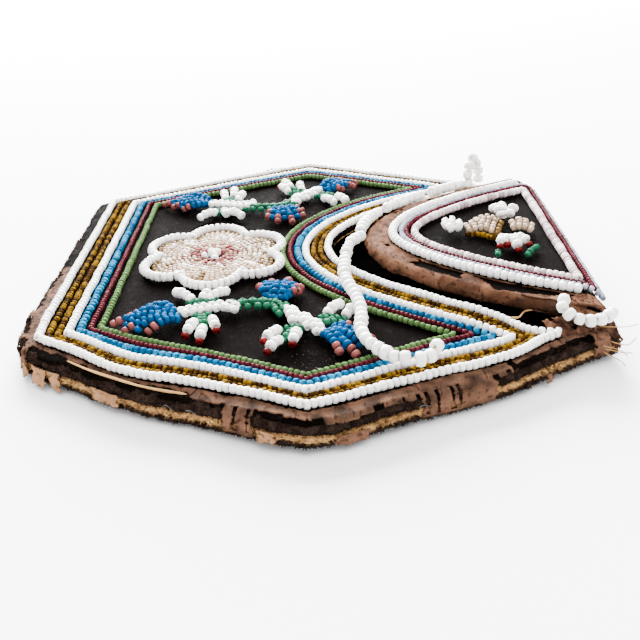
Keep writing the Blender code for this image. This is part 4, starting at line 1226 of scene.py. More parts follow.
class PURSE_OT_branches(bpy.types.Operator):
    """The near flower branch and its mirror image on the far side"""
    bl_idname = "purse.branches"
    bl_label = "Flower branches"

    SIDES = (("near", False), ("far", True))

    def execute(self, context):
        for side, mirrored in self.SIDES:
            self.leaves(side, mirrored)
            self.buds(side, mirrored)
            self.stems(side, mirrored)
        return {"FINISHED"}

    def at(self, point, mirrored):
        return (point[0], 2.0 * MOTIF_AXIS - point[1]) if mirrored else point

    def cluster(self, side, mirrored, part, slot, groups, seed):
        flower_part(f"{side}_{part}", slot, groups, seed + (40 if mirrored else 0), front_top,
                    lambda point: self.at(point, mirrored))

    def leaves(self, side, mirrored):
        petals = ("white",)
        tips = ("white", "red", 1)
        green = ("stem_green",)
        self.cluster(side, mirrored, "collar_petals", "white_beads", (
            ([[(-27.6, -30.6), (-32.6, -25.6)], [(-24.0, -30.4), (-19.4, -26.0)],
              [(-25.4, -30.6), (-24.2, -27.0)]],
             2.6, 1.7, 0.9, petals),
            ([[(-25.4, -33.4), (-27.6, -29.4)], [(-24.6, -33.4), (-23.6, -29.6)],
              [(-25.0, -33.0), (-25.6, -29.4)],
              [(-26.4, -33.2), (-29.0, -30.4)], [(-23.6, -33.0), (-21.6, -29.8)]], 1.7, 1.35, 0.7,
              green)), 70)
        self.cluster(side, mirrored, "sprig_left", "white_beads", (
            ([[(-25.8, -41.4), (-27.3, -48.8)], [(-23.6, -44.4), (-23.7, -51.4)],
              [(-22.0, -40.2), (-20.2, -47.0)]],
             2.6, 1.75, 1.0, tips),
            ([[(-25.2, -37.4), (-24.4, -44.0)], [(-25.8, -37.4), (-26.2, -41.2)],
              [(-23.8, -37.0), (-22.2, -40.2)],
              [(-24.4, -37.6), (-23.2, -43.8)]], 1.7, 1.35, 0.8, green)), 72)
        self.cluster(side, mirrored, "sprig_middle", "white_beads", (
            ([[(-6.2, -46.4), (-9.8, -52.6)], [(-5.7, -51.0), (-8.8, -57.2)], [(-2.2, -47.8), (-3.1, -54.4)]],
             2.6, 1.75, 1.0, tips),
            ([[(-0.2, -45.2), (-6.2, -46.2)], [(-2.6, -45.6), (-5.4, -51.2)], [(-0.8, -45.2), (-2.0, -48.0)],
              [(-1.4, -46.2), (-4.4, -50.6)]], 1.7, 1.35, 0.8, green)), 74)
        self.cluster(side, mirrored, "leaf_pair", "white_beads", (
            ([[(4.6, -39.8), (8.2, -34.8)], [(8.8, -41.4), (11.8, -36.2)]], 2.6, 1.75, 0.9, petals),
            ([[(2.0, -43.2), (5.4, -39.8)], [(3.6, -43.2), (9.4, -42.0)], [(2.6, -44.2), (8.4, -43.4)],
              [(2.8, -42.6), (7.4, -40.8)]], 1.7, 1.35, 0.8, green)), 76)

    def buds(self, side, mirrored):
        blue = ("bud_blue",)
        tips = ("bud_blue", "pink", 2)
        self.cluster(side, mirrored, "bud_left", "bud_blue_beads", (
            ([[(-30.0, -38.6), (-33.6, -34.6), (-38.8, -34.6)],
              [(-29.8, -38.8), (-34.6, -36.4), (-42.2, -37.0)],
              [(-29.6, -39.0), (-36.0, -38.6), (-45.4, -40.0)],
              [(-29.6, -39.2), (-35.6, -40.6), (-41.8, -43.6)],
              [(-29.8, -39.4), (-33.2, -42.8), (-36.4, -44.8)]], 2.1, 1.5, 1.7, tips),
            ([[(-31.0, -37.6), (-35.6, -35.4), (-39.4, -35.8)],
              [(-31.0, -38.6), (-36.6, -37.4), (-42.0, -38.4)],
              [(-31.0, -39.4), (-36.6, -39.8), (-42.0, -41.4)],
              [(-31.0, -40.0), (-35.0, -42.2), (-38.8, -43.8)]],
             2.1, 1.5, 2.2, blue)), 78)
        self.cluster(side, mirrored, "bud_top", "bud_blue_beads", (
            ([[(-9.8, -30.0), (-12.0, -24.0)], [(-8.8, -31.2), (-8.8, -20.8)], [(-7.2, -31.6), (-4.4, -20.2)],
              [(-5.8, -31.4), (-1.2, -24.6)], [(-5.0, -30.4), (-1.4, -28.0)]], 2.1, 1.5, 1.5, tips),
            ([[(-9.4, -30.6), (-10.4, -23.4)], [(-8.0, -31.4), (-6.9, -22.6)],
              [(-6.6, -31.6), (-3.0, -23.6)]],
             2.1, 1.5, 2.0, blue)), 80)
        self.cluster(side, mirrored, "bud_right", "bud_blue_beads", (
            ([[(3.6, -48.2), (7.4, -57.2)], [(4.4, -48.0), (11.0, -58.4)], [(5.4, -47.6), (15.8, -55.6)],
              [(6.2, -47.0), (15.0, -51.8)], [(6.0, -46.4), (11.4, -47.8)]], 2.1, 1.5, 1.6, tips),
            ([[(4.0, -48.2), (8.8, -55.6)], [(5.0, -47.8), (12.2, -54.6)], [(6.0, -47.4), (12.4, -51.6)],
              [(5.8, -46.8), (10.4, -48.8)]], 2.1, 1.5, 2.0, blue)), 82)

    def stems(self, side, mirrored):
        def route(points):
            return [self.at(point, mirrored) for point in points]

        turn = -1.0 if mirrored else 1.0
        green = Beads(f"{side}_stem_beads", "stem_green_beads", ("stem_green",), 90)
        laid_stem(green, route([(-19.0, -34.0), (-14.0, -33.2), (-9.8, -33.0), (-6.6, -34.2), (-5.0, -38.4)]),
                  front_top, 4.4, 1.75, 1.2, 1.5, True)
        green.make((f"{side}_stem",))
        white = Beads(f"{side}_white_stem_beads", "white_beads", ("white",), 92)
        laid_stem(white,
                  route([(-30.0, -37.2), (-25.4, -36.0), (-22.2, -35.0), (-19.2, -34.4), (-16.2, -36.4)]),
                  front_top, 3.0, 2.3, 1.9, -1.6 * turn)
        white.make((f"{side}_white_stem",))
        fat = Beads(f"{side}_white_diagonal_beads", "white_beads", ("white",), 94)
        slanted = (((-5.0, -36.0), (-3.0, -43.0)), ((-3.6, -36.4), (-1.6, -43.2)),
                   ((-2.2, -39.4), (0.4, -46.0)), ((-0.8, -40.0), (1.4, -46.0)),
                   ((0.6, -42.8), (2.6, -48.6)), ((1.8, -43.2), (3.8, -49.0)))
        for start, end in slanted:
            string_over(fat, route([start, end]), front_top, 2.3, 1.75, 1.0, tipped(None))
        fat.make((f"{side}_white_diagonal",))


class PURSE_OT_flap_flower(bpy.types.Operator):
    """The crystal flower and its buds on the flap"""
    bl_idname = "purse.flap_flower"
    bl_label = "Flap flower"

    def execute(self, context):
        white = ("white", "red")
        self.bud("flap_flower_centre", "crystal_beads", (
            ([[(42.6, 2.8), (47.0, 2.4), (52.6, 0.8)], [(42.8, 1.0), (47.0, 0.4), (52.0, -1.8)],
              [(44.4, 4.6), (48.6, 4.6), (53.6, 3.2)], [(43.0, -0.6), (47.4, -1.6), (51.0, -4.2)],
              [(45.8, 6.0), (49.0, 6.4), (53.2, 5.0)]], 2.0, 1.5, 1.4, ("crystal", "gold")),
            ([[(42.4, -2.0), (46.4, -3.2), (50.6, -6.8)]], 1.6, 1.3, 0.4, ("amber",))), 100)
        self.bud("flap_bud_tip", "white_beads", (
            ([[(41.8, 2.8), (37.2, 4.4)], [(42.0, 1.4), (36.6, 1.8)], [(41.6, 0.2), (37.4, -0.8)]], 2.7,
             1.8, 1.4, ("white",)),), 101)
        self.bud("flap_bud_near", "white_beads", (
            ([[(51.4, -7.4), (49.4, -14.0)], [(52.2, -7.6), (51.4, -13.8)], [(53.2, -7.8), (54.0, -16.2)],
              [(54.2, -7.4), (57.6, -13.2)]], 2.7, 1.8, 1.6, white),
            ([[(48.8, -14.8), (48.4, -17.0)], [(55.6, -17.2), (59.6, -11.6)]], 1.7, 1.4, 0.6,
             ("stem_green",))), 102)
        self.bud("flap_bud_far", "white_beads", (
            ([[(54.0, 8.0), (52.4, 14.6)], [(54.8, 8.2), (55.0, 16.4)], [(56.0, 8.2), (58.8, 13.8)]], 2.7,
             1.8, 1.6, ("white",)),), 103)
        self.bud("flap_bud_hinge", "crystal_beads", (
            ([[(55.0, 3.0), (60.4, 4.0)], [(55.4, 1.6), (61.4, 1.0)], [(55.0, 0.4), (60.6, -1.8)]], 2.2,
             1.6, 1.2, ("crystal",)),), 104)
        return {"FINISHED"}

    def bud(self, node, slot, groups, seed):
        flower_part(node, slot, groups, seed, flap_height, on_body=False)


# Strings of large beads

STRAND_ROUTE = (
    (15.0, -2.6, 14.5), (11.6, -6.6, 14.4), (10.4, -12.0, 14.4), (9.6, -18.0, 14.0), (9.2, -24.0, 13.7),
    (9.8, -30.0, 13.5), (11.6, -36.4, 13.4), (12.4, -42.6, 13.2), (12.4, -47.6, 12.9), (11.9, -52.6, 12.7),
    (13.2, -57.2, 12.4), (15.6, -60.6, 12.1), (18.4, -63.4, 11.9), (21.8, -64.2, 11.8), (25.2, -62.6, 11.8),
    (28.2, -58.8, 11.9))


def smooth_route(points, per):
    route = [Vector(point) for point in points]
    padded = [route[0] * 2.0 - route[1]] + route + [route[-1] * 2.0 - route[-2]]
    curve = []
    for p0, p1, p2, p3 in zip(padded, padded[1:], padded[2:], padded[3:]):
        for k in range(per):
            t = k / per
            curve.append(0.5 * (2.0 * p1 + (p2 - p0) * t + (2.0 * p0 - 5.0 * p1 + 4.0 * p2 - p3) * t * t
                                + (3.0 * p1 - p0 - 3.0 * p2 + p3) * t ** 3))
    curve.append(route[-1])
    return curve


def strung(work, route, width, pitch, bare=()):
    """Large beads threaded along a route in space, but not on its bare stretches of thread."""
    places = spaced([Vector(point) for point in route], pitch)
    for number, (spot, run) in enumerate(places):
        share = (number + 0.5) / len(places)
        if not any(low < share < high for low, high in bare):
            work.bead(spot, run, width, pitch * 0.98)


class PURSE_OT_strings(bpy.types.Operator):
    """The loose strand and the three strings of large white beads"""
    bl_idname = "purse.strings"
    bl_label = "Bead strings"

    def execute(self, context):
        width = sizes().string_bead / MM
        route = [Vector(point) for point in STRAND_ROUTE]
        strand = Beads("loose_strand_beads", "white_beads", ("white",), 110, False, 1.5)
        strung(strand, route[:-2], width, 2.3)
        item = strand.make(("loose_strand",))
        last = Beads("last_bead", "white_beads", ("white", "tan_thread"), 114, False)
        last.bead(route[-1] - Vector((0.4, 0.6, 0.0)), route[-1] - route[-2], width, 2.4)
        last.bead(route[-3] + Vector((2.0, -0.4, 0.0)), (1.0, 0.1, 0.0), width, 2.3)
        last.bead(route[-3] + Vector((4.2, 0.7, 0.1)), (0.9, 0.5, 0.0), width, 2.3)
        stray = last.make((), tube(route[-3:], 0.22), 1)
        edge = STRING_BEAD / 2.0 + GAP + RIBBON + RIBBON
        last = flap_side_end(FOLD_START - 14.0, 0.0)
        side = [(*flap_side_point(2.0 + (last - 2.0) * k / 30, -edge), FLAP_TOP + 1.0) for k in range(31)]
        work = Beads("flap_edge_beads", "white_beads", ("white",), 111, False, 1.6)
        strung(work, side, width, 2.4, ((0.33, 0.36), (0.70, 0.74)))
        work.make(("flap_edge_string",))
        x, y = flap_side_point(last, 2.1)
        foot = FLAP_TOP + 2.0 * GAP + RIBBON
        loop = [(x - 2.4, y - 2.0, foot + 1.2), (x - 2.8, y - 2.2, foot + 5.0),
                (x - 1.2, y - 0.6, foot + 9.4),
                (x + 0.8, y + 1.2, foot + 5.2), (x + 1.0, y + 1.2, foot + 1.2)]
        work = Beads("standing_loop_beads", "white_beads", ("white",), 112, False)
        strung(work, smooth_route(loop, 6), width, 2.5)
        work.make(("standing_loop",))
        x = HINGE_REACH
        y = -FLAP_FOOT_HALF
        drape = [(x - 12.3, y + 2.6, FLAP_TOP + 2.2), (x - 13.6, y - 0.2, FLAP_TOP + 1.4),
                 (x - 12.6, y - 2.2, FLAP_TOP + 0.4), (x - 10.1, y - 3.6, RIM_TOP + 4.4),
                 (x - 6.8, y - 3.9, RIM_TOP + 4.2), (x - 3.8, y - 2.4, RIM_TOP + 4.4),
                 (x - 1.6, y + 0.6, RIM_TOP + 4.1)]
        work = Beads("corner_loop_beads", "white_beads", ("white",), 113, False, 1.3)
        strung(work, smooth_route(drape, 6), width * 0.92, 2.4)
        work.make(("corner_loop",))
        return {"FINISHED"}


# Silk binding

def worn_strip(name, lines, keep, nodes, finish, on_body, seed, light):
    """Silk as lines of points; keep(k, j) says which cells are left, and light(k, j) how much paler they are."""
    draw = random.Random(seed)
    across = len(lines[0])
    faces = []
    for k in range(len(lines) - 1):
        for j in range(across - 1):
            if keep(k, j):
                faces.append((k * across + j, (k + 1) * across + j, (k + 1) * across + j + 1,
                              k * across + j + 1))
    used = sorted({number for face in faces for number in face})
    order = {number: place for place, number in enumerate(used)}
    verts = []
    tones = []
    for number in used:
        x, y, z = lines[number // across][number % across]
        verts.append((x + draw.uniform(-0.1, 0.1), y + draw.uniform(-0.1, 0.1),
                      z + draw.uniform(-0.06, 0.06)))
        tone = 0.25 + 0.6 * rough(x, y + z, 3.0, seed + 20.0)
        tones.append(min(max(tone + light(number // across, number % across), 0.0), 1.0))
    faces = [tuple(order[k] for k in face) for face in faces]
    item = piece(name, verts, faces, nodes, finish, tones,
                 on_body=on_body)
    solid = item.modifiers.new("Thickness", "SOLIDIFY")
    solid.thickness = sizes().ribbon_thickness
    solid.offset = 1.0
    return item


class RimSide:
    """One sewn side of the rim, with places given as shares of its length."""

    def __init__(self, start, end, sign):
        self.start = start
        self.run = (end[0] - start[0], end[1] - start[1])
        self.sign = sign
        self.length = math.hypot(*self.run)
        a = -self.run[1] / self.length
        b = self.run[0] / self.length
        inside = 1.0 if a * start[0] + b * start[1] < 0.0 else -1.0
        self.inward = (a * inside, b * inside)

    def at(self, share, inset):
        x = self.start[0] + self.run[0] * share + self.inward[0] * inset
        y = self.start[1] + self.run[1] * share + self.inward[1] * inset
        return x, y * self.sign


CORNER_LEFT = (-LEFT_REACH, LEFT_HALF)
CORNER_PEAK = (0.0, PEAK_HALF)
CORNER_HINGE = (HINGE_REACH, HINGE_HALF)
NEAR_LEFT = RimSide(CORNER_LEFT, CORNER_PEAK, -1)
NEAR_RIGHT = RimSide(CORNER_PEAK, CORNER_HINGE, -1)
FAR_LEFT = RimSide(CORNER_LEFT, CORNER_PEAK, 1)
LEFT_EDGE = RimSide((-LEFT_REACH, 0.0), CORNER_LEFT, -1)


class PURSE_OT_ribbons(bpy.types.Operator):
    """The worn silk binding: patches at the rim and the band round the flap"""
    bl_idname = "purse.ribbons"
    bl_label = "Silk binding"

    TOP_LINES = 12
    SIDE_LINES = 20

    WIDTH = 3.9

    def execute(self, context):
        made = [
            self.patch("ribbon_left", LEFT_EDGE, (0.05, 0.985), ((0.60, 0.70), (0.84, 0.91)), 1, 2.4),
            self.patch("ribbon_near_left", NEAR_LEFT, (0.005, 0.64), ((0.015, 0.045),), 2, 1.6),
            self.patch("ribbon_near_middle", NEAR_LEFT, (0.645, 0.995), ((0.75, 0.85),), 3, 3.0,
                       (0.79, 0.83)),
            self.patch("ribbon_near_right", NEAR_RIGHT, (0.01, 0.60), ((0.315, 0.545),), 4, 3.4,
                       (0.335, 0.365, 0.41, 0.43)),
            self.patch("ribbon_near_corner", NEAR_RIGHT, (0.62, 0.97), ((0.90, 0.96),), 5, 2.2),
            self.patch("ribbon_far", FAR_LEFT, (0.05, 0.97), ((0.2, 0.32), (0.60, 0.70)), 6, 2.8)]
        self.declare_silk(made, self.rags())
        self.flap_band()
        return {"FINISHED"}

    def declare_silk(self, made, scraps):
        """Passes each patch's size to declare, which does nothing with it; one worn to a sliver, and the scraps,
        are passed along with the widest patch.
        """
        slivers = [item for item, length in made if skin_area(item) < 3.2 * length]
        whole = [(item, length) for item, length in made if item not in slivers]
        widest = max(whole, key=lambda pair: skin_area(pair[0]) / pair[1])[0]
        for item, length in whole:
            width = max(10.0, skin_area(item) / length * 1.5)
            declare(width, length,
                    with_pieces=slivers + scraps if item == widest else ())

    def patch(self, name, side, shares, whole, seed, reach, slits=()):
        """One piece of ribbon: a worn strip on the top margin that wraps right round in its whole places."""
        count = int(side.length * (shares[1] - shares[0]) / 0.3)
        spine = [shares[0] + (shares[1] - shares[0]) * k / count for k in range(count + 1)]
        top = self.TOP_LINES
        below = self.SIDE_LINES

        def line_at(share):
            x, y = side.at(share, 0.0)
            pucker = 0.5 * rough(x, y, 1.5, seed) + 0.4 * rough(x, y, 3.6, seed + 2)
            line = []
            for j in range(top):
                px, py = side.at(share, self.WIDTH * (1.0 - j / (top - 1)) + 0.2)
                line.append((px, py, front_top(px, py) + 0.12 + 0.3 * abs(rough(px, py, 1.4, seed + 3))))
            high = front_top(x, y) - 0.3
            low = back_level(x, y, 0.0) + 0.2
            for j in range(1, below + 1):
                turn = j / below
                fold = math.sin(math.pi * turn)
                out = 0.65 + 0.75 * fold + 0.5 * pucker * fold + 0.3 * rough(x, turn * 7.0, 1.3, seed + 6)
                px, py = side.at(share, -out)
                line.append((px, py, high + (low - high) * turn))
            for j in range(1, 6):
                px, py = side.at(share, 0.8 * j - 0.9)
                line.append((px, py, max(back_level(px, py, 0.0) - 0.15, 0.15)))
            return line

        def tear(x, y, j, fine):
            return (rough(x, y + j * 0.5, 2.4, seed + 4) + 0.4 * rough(x, y + j * 0.4, 1.1, seed + 5)
                    + fine * rough(x, y + j * 0.3, 0.5, seed + 7))

        def keep(k, j):
            share = spine[k]
            x, y = side.at(share, 0.0)
            torn = tear(x, y, j, 0.3 if j > top + 1 else 0.1)
            inside = max(min(share - low, high - share) * side.length for low, high in whole)
            for slit in slits:
                half = 0.45 + 0.5 * rough(0.0, j * 0.5, 1.5, slit * 90.0)
                if abs(share - slit) * side.length < half and j > top - 3:
                    return j > top + below * 0.72
            if inside > 0.5 + 0.9 * torn:
                return torn < 0.75 or j < 3
            if j < top + 1:
                depth = j * self.WIDTH / top
                far = reach + 0.8 * rough(x, y, 7.0, seed + 8) + 0.7 * torn
                return 0.2 - 0.35 * torn < depth < far
            return False

        # Painted highlight: the wrap is paler towards its middle, where the fold bulges out most; the top margin
        # is a little darker
        def light(k, j):
            return 0.45 * math.sin(math.pi * min(max((j - top) / below, 0.0), 1.0)) ** 2 if j > top else -0.1

        item = worn_strip(name + "_silk", [line_at(share) for share in spine], keep, (name,), "ribbon",
                          True, seed, light)
        return item, side.length * (shares[1] - shares[0])

    def rags(self):
        """Torn scraps of silk and raw cloth that hang at the foot of the rim."""
        scraps = ((NEAR_LEFT, 0.020, 0.055, 5.0, 1.6, 1.0, "scrap_silk"),
                  (NEAR_LEFT, 0.075, 0.145, 5.2, 1.2, 0.9, "scrap_silk"),
                  (NEAR_LEFT, 0.15, 0.20, 5.4, 0.9, 0.3, "scrap_silk"),
                  (NEAR_LEFT, 0.32, 0.43, 5.2, 2.4, 0.2, "scrap_silk"),
                  (NEAR_LEFT, 0.86, 0.92, 4.6, 2.2, 0.2, "scrap_silk"),
                  (NEAR_RIGHT, 0.07, 0.17, 3.9, 1.8, 0.1, "ribbon"),
                  (NEAR_RIGHT, 0.72, 0.75, 3.4, 1.4, 0.2, "ribbon"))
        made = []
        for number, (side, begin, stop, high, low, out, finish) in enumerate(scraps):
            count = max(6, int((stop - begin) * side.length / 0.28))
            lines = []
            for k in range(count + 1):
                share = begin + (stop - begin) * k / count
                line = []
                for j in range(15):
                    t = j / 14.0
                    x, y = side.at(share, 0.0)
                    curl = 0.35 * rough(x, y + t * 3.0, 1.6, number + 60.0)
                    px, py = side.at(share, -1.35 - out * t * t - curl)
                    line.append((px, py, high + (low - high) * t + 0.2 * curl))
                lines.append(line)

            def keep(k, j, count=count, number=number):
                ends = min(k, count - 1 - k) * 0.28
                torn = (rough(k * 0.28, j * 0.3, 1.3, number + 70.0)
                        + 0.5 * rough(k * 0.28, j * 0.3, 0.5, number + 80.0))
                return ends > 0.3 + 0.8 * torn and (13 - j) * 0.3 > 0.9 * torn

            made.append(worn_strip(f"hanging_scrap_{number + 1}", lines, keep, (), finish, True, 50 + number,
                                   lambda k, j: 0.6 if j > 3 else 0.3))
        return made

    def flap_band(self):
        """The band round both curved sides of the flap, folded under, with worn holes."""
        end = flap_side_end(FOLD_START - 0.5, 0.0)
        count = 330
        spine = [-end + 2.0 * end * k / count for k in range(count + 1)]
        under = FLAP_TOP - CLOTH - STIFFENER - LINING - 2.0 * GAP

        def line_at(y0):
            line = []
            crease = rough(y0, 0.0, 3.0, 31.0)
            for j in range(16):
                inset = 5.0 * (1.0 - j / 15.0) + 0.1
                x, y = self.side(y0, inset)
                fold = 0.5 * abs(rough(x, y, 2.6, 32.0)) + 0.25 * abs(rough(x, y, 1.0, 33.5))
                line.append((x, y, flap_height(x, y) + 0.1 + fold * math.sin(math.pi * j / 15.0)))
            for j in range(1, 10):
                turn = j / 9.0
                x, y = self.side(y0, -0.45 - 0.5 * math.sin(math.pi * turn) + crease * 0.45)
                drop = 0.6 + 0.7 * rough(y0, 3.0, 6.0, 36.0)
                line.append((x, y, FLAP_TOP - 0.1 + (under - drop - FLAP_TOP) * turn))
            for j in range(1, 6):
                x, y = self.side(y0, 0.6 * j)
                line.append((x, y, under - 0.2))
            return line

        def keep(k, j):
            y0 = spine[k]
            torn = (rough(y0, j * 0.7, 5.0, 33.0) + 0.35 * rough(y0, j * 0.5, 1.8, 34.0)
                    + 0.2 * rough(y0, j, 0.6, 35.0))
            if -29.0 + torn < y0 < -18.8 + torn and 2.0 < j + 2.0 * torn < 12.0:
                return False
            if -8.6 + torn < y0 < -6.6 + torn and 3 < j < 8:
                return False
            bare = 13.0 * eased((-28.0 - y0) / 7.0) + 5.0 * torn
            if y0 < -28.0 and 1.5 < j < bare:
                return False
            whole = 0.4 if abs(y0) < 15.0 else 0.0
            return torn < 0.47 + whole or 17 < j < 21

        def light(k, j):
            return 0.35 if j > 14 and spine[k] > -26.0 else -0.15 if spine[k] < -14.0 else 0.1

        item = worn_strip("flap_silk_band", [line_at(y0) for y0 in spine], keep, ("flap_ribbon",),
                          "flap_ribbon", False, 31, light)
        declare(13.0, skin_area(item) / 13.0 * 1.3)

    def side(self, y0, inset):
        x, y = flap_side_point(abs(y0), inset)
        return x, math.copysign(y, y0)


class PURSE_OT_wear(bpy.types.Operator):
    """Loose fibres, raw threads and the torn silk at the near hinge corner"""
    bl_idname = "purse.wear"
    bl_label = "Wear"

    def execute(self, context):
        self.fuzz()
        self.straw()
        self.threads()
        self.corner_silk()
        self.lint()
        return {"FINISHED"}

    def fuzz(self):
        """The pile of the rolled velvet and the raw fibres of the interlining, as short tufts."""
        self.tufts("velvet_fuzz", SEAM_BAND, (-0.9, 1.7), 0.030, 0.85, "velvet", "pile", 5)
        self.tufts("raw_edge_fibres", FRAYED_BAND, (-1.2, 0.9), 0.045, 1.0, "interlining", "tan_thread", 6)
        self.tufts("foot_fuzz", FOOT_BAND, (-1.2, 0.5), 0.075, 0.9, "velvet", "pile", 7)

    def tufts(self, name, band, turns, step, size, slot, finish, seed):
        draw = random.Random(seed)
        length = sizes().fuzz_length / MM * size
        parts = []
        tones = []
        for x, y in rim_walk(band.inset, step):
            inward = inward_at(x, y)
            turn = draw.uniform(*turns)
            foot = band.at(x, y, turn, inward)
            out = Vector((-inward.x * math.cos(turn), -inward.y * math.cos(turn), math.sin(turn)))
            lean = Vector((draw.gauss(0, 0.5), draw.gauss(0, 0.5), draw.gauss(0, 0.5)))
            tip = foot + (out + lean).normalized() * length * draw.uniform(0.45, 1.1)
            tip.z = max(tip.z, 0.1)
            parts.append(self.spike(foot - out * 0.15, tip, 0.11))
            tones += [draw.random() ** 1.6] * 4
        verts, faces = joined(parts)
        piece(name, verts, faces, (), finish, tones, False)

    def spike(self, foot, tip, radius):
        """A slender closed three-sided fibre."""
        run = (tip - foot).normalized()
        across = run.orthogonal().normalized()
        over = run.cross(across)
        base = [tuple(foot + (across * math.cos(turn) + over * math.sin(turn)) * radius)
                for turn in (0.0, math.tau / 3.0, 2.0 * math.tau / 3.0)]
        return base + [tuple(tip)], [(0, 1, 3), (1, 2, 3), (2, 0, 3), (2, 1, 0)]

    def straw(self):
        """Raw warp threads that lie along the top of the near left edge."""
        draw = random.Random(6)
        parts = []
        for number in range(5):
            begin = 0.20 + 0.05 * draw.random()
            stop = 0.56 + 0.09 * draw.random()
            points = []
            for k in range(30):
                t = k / 29.0
                share = begin + (stop - begin) * t
                spread = (number - 2.0) * 0.26 * math.sin(math.pi * min(t * 1.2, 1.0)) + 1.0
                x, y = NEAR_LEFT.at(share, spread)
                z = front_top(x, y) + 0.45 - 0.05 * number + 0.2 * rough(share * 50.0, number * 1.3, 8.0, 4.0)
                points.append((x, y, z))
            parts.append(tube(points, 0.17 + 0.08 * draw.random(), taper=0.3))
        verts, faces = joined(parts)
        tones = [0.75 + 0.25 * rough(y, x, 5.0, z) for x, y, z in verts]
        piece("straw_threads", verts, faces, (), "tan_thread", tones)

    def threads(self):
        """Loose thread ends at the near hinge corner, and threads that lie on the rolled velvet."""
        routes = (
            ([(66.0, -47.6, 9.0), (71.5, -48.8, 9.4), (74.0, -49.4, 10.4)], 0.10),
            ([(67.0, -48.0, 6.0), (71.6, -50.0, 5.4), (73.6, -50.2, 7.4)], 0.12),
            ([(64.0, -49.0, 5.0), (70.6, -50.8, 4.0), (72.6, -51.8, 4.4)], 0.12),
            ([(66.0, -49.4, 4.0), (70.0, -51.6, 2.4), (71.0, -53.0, 1.6)], 0.12),
            ([(65.0, -49.6, 5.6), (69.6, -51.8, 5.2), (71.8, -52.0, 3.4)], 0.10),
            ([(45.0, -44.0, 8.6), (45.9, -42.8, 8.9), (48.0, -40.8, 9.0), (50.2, -40.6, 9.2),
              (51.6, -38.4, 9.3), (54.2, -38.0, 9.6)], 0.24),
        )
        parts = [tube(smooth_route(points, 6), radius) for points, radius in routes]
        verts, faces = joined(parts)
        piece("loose_threads", verts, faces, (), "tan_thread", [0.62] * len(verts))
        draw = random.Random(8)
        curls = []
        for side, share, swing in ((NEAR_LEFT, 0.585, 0.5), (NEAR_LEFT, 0.655, 0.35),
                                   (NEAR_RIGHT, 0.30, 0.4)):
            points = []
            for k in range(22):
                x, y = side.at(share + 0.034 * k / 21.0, -2.25 - 0.1 * draw.random())
                z = 6.0 + swing * math.sin(k / 21.0 * 4.4) + 0.2 * rough(k / 5.0, share * 9.0, 1.0, 3.0)
                points.append((x, y, z))
            curls.append(tube(points, 0.045))
        points = [(2.0, -60.6), (4.0, -61.6), (6.4, -61.4), (8.6, -60.4)]
        curls.append(tube(smooth_route([(x, y, front_top(x, y) + 0.15) for x, y in points], 8), 0.07))
        verts, faces = joined(curls)
        piece("grey_threads", verts, faces, (), "lint")

    def corner_silk(self):
        """Torn silk folds that hang from the flap's near end over the body's corner."""
        per = 20
        across = 34
        top = smooth_route([(51.0, -39.0, 12.4), (57.0, -42.4, 12.5), (63.0, -44.8, 12.2),
                            (68.2, -45.8, 10.4), (71.2, -46.2, 6.2)], per)
        low = smooth_route([(55.0, -51.0, 7.4), (60.0, -51.2, 6.2), (65.0, -49.8, 4.6), (69.6, -48.2, 3.4),
                            (71.8, -46.8, 2.6)], per)
        lines = []
        for start, end in zip(top, low):
            line = []
            for j in range(across):
                t = j / (across - 1)
                spot = start.lerp(end, t)
                fold = (1.3 * rough(spot.x * 1.3 + 4.0 * t, j * 0.2, 2.8, 41.0)
                        + 0.5 * rough(spot.x, j * 0.4, 1.1, 42.0))
                spot = spot + Vector((0.15, -0.8, 0.35)) * (fold + 0.9 * math.sin(math.pi * t))
                line.append(tuple(spot))
            lines.append(line)

        def keep(k, j):
            torn = rough(top[k].x, j * 0.4, 2.2, 43.0) + 0.4 * rough(top[k].x, j * 0.4, 0.7, 44.0)
            if k < 26 and j < across * (0.5 - 0.012 * k):
                return False
            return torn < 0.42 and (j < across * 0.86 or torn < -0.1)

        spread = self.flap_corner_silk()
        item = worn_strip("corner_silk", lines, keep, (), "flap_ribbon", False, 41,
                          lambda k, j: 0.5 * rough(top[k].x, j * 0.3, 1.6, 45.0))
        declare(16.0, max(20.0, skin_area(item) / 16.0 * 1.3),
                with_pieces=[spread])

    def flap_corner_silk(self):
        """Crumpled silk over the flap's near corner and its fold."""
        ends = (50.0, HINGE_REACH - 0.15)
        lines = []
        for k in range(60):
            x = ends[0] + (ends[1] - ends[0]) * math.sin(math.pi / 2.0 * k / 59.0)
            edge = min(flap_side_end(x, 0.0), FLAP_FOOT_HALF) + 0.5
            line = []
            for j in range(40):
                y = -edge + 9.5 * j / 39.0
                fold = abs(rough(x * 0.7 + y * 0.8, x * 0.2, 1.7, 51.0)) + 0.4 * abs(rough(x, y, 0.8, 52.0))
                line.append((x, y, flap_height(x, y) + 0.15 + 0.8 * fold))
            lines.append(line)

        def keep(k, j):
            torn = rough(k * 0.35, j * 0.3, 2.6, 53.0) + 0.4 * rough(k * 0.35, j * 0.3, 0.8, 54.0)
            return torn < 0.32 and j < 30.0 * eased((k - 2.0) / 34.0) - 6.0 * torn

        return worn_strip("flap_corner_silk", lines, keep, (), "flap_ribbon", False, 55,
                          lambda k, j: 0.5 * rough(k * 0.3, j * 0.3, 1.6, 56.0))

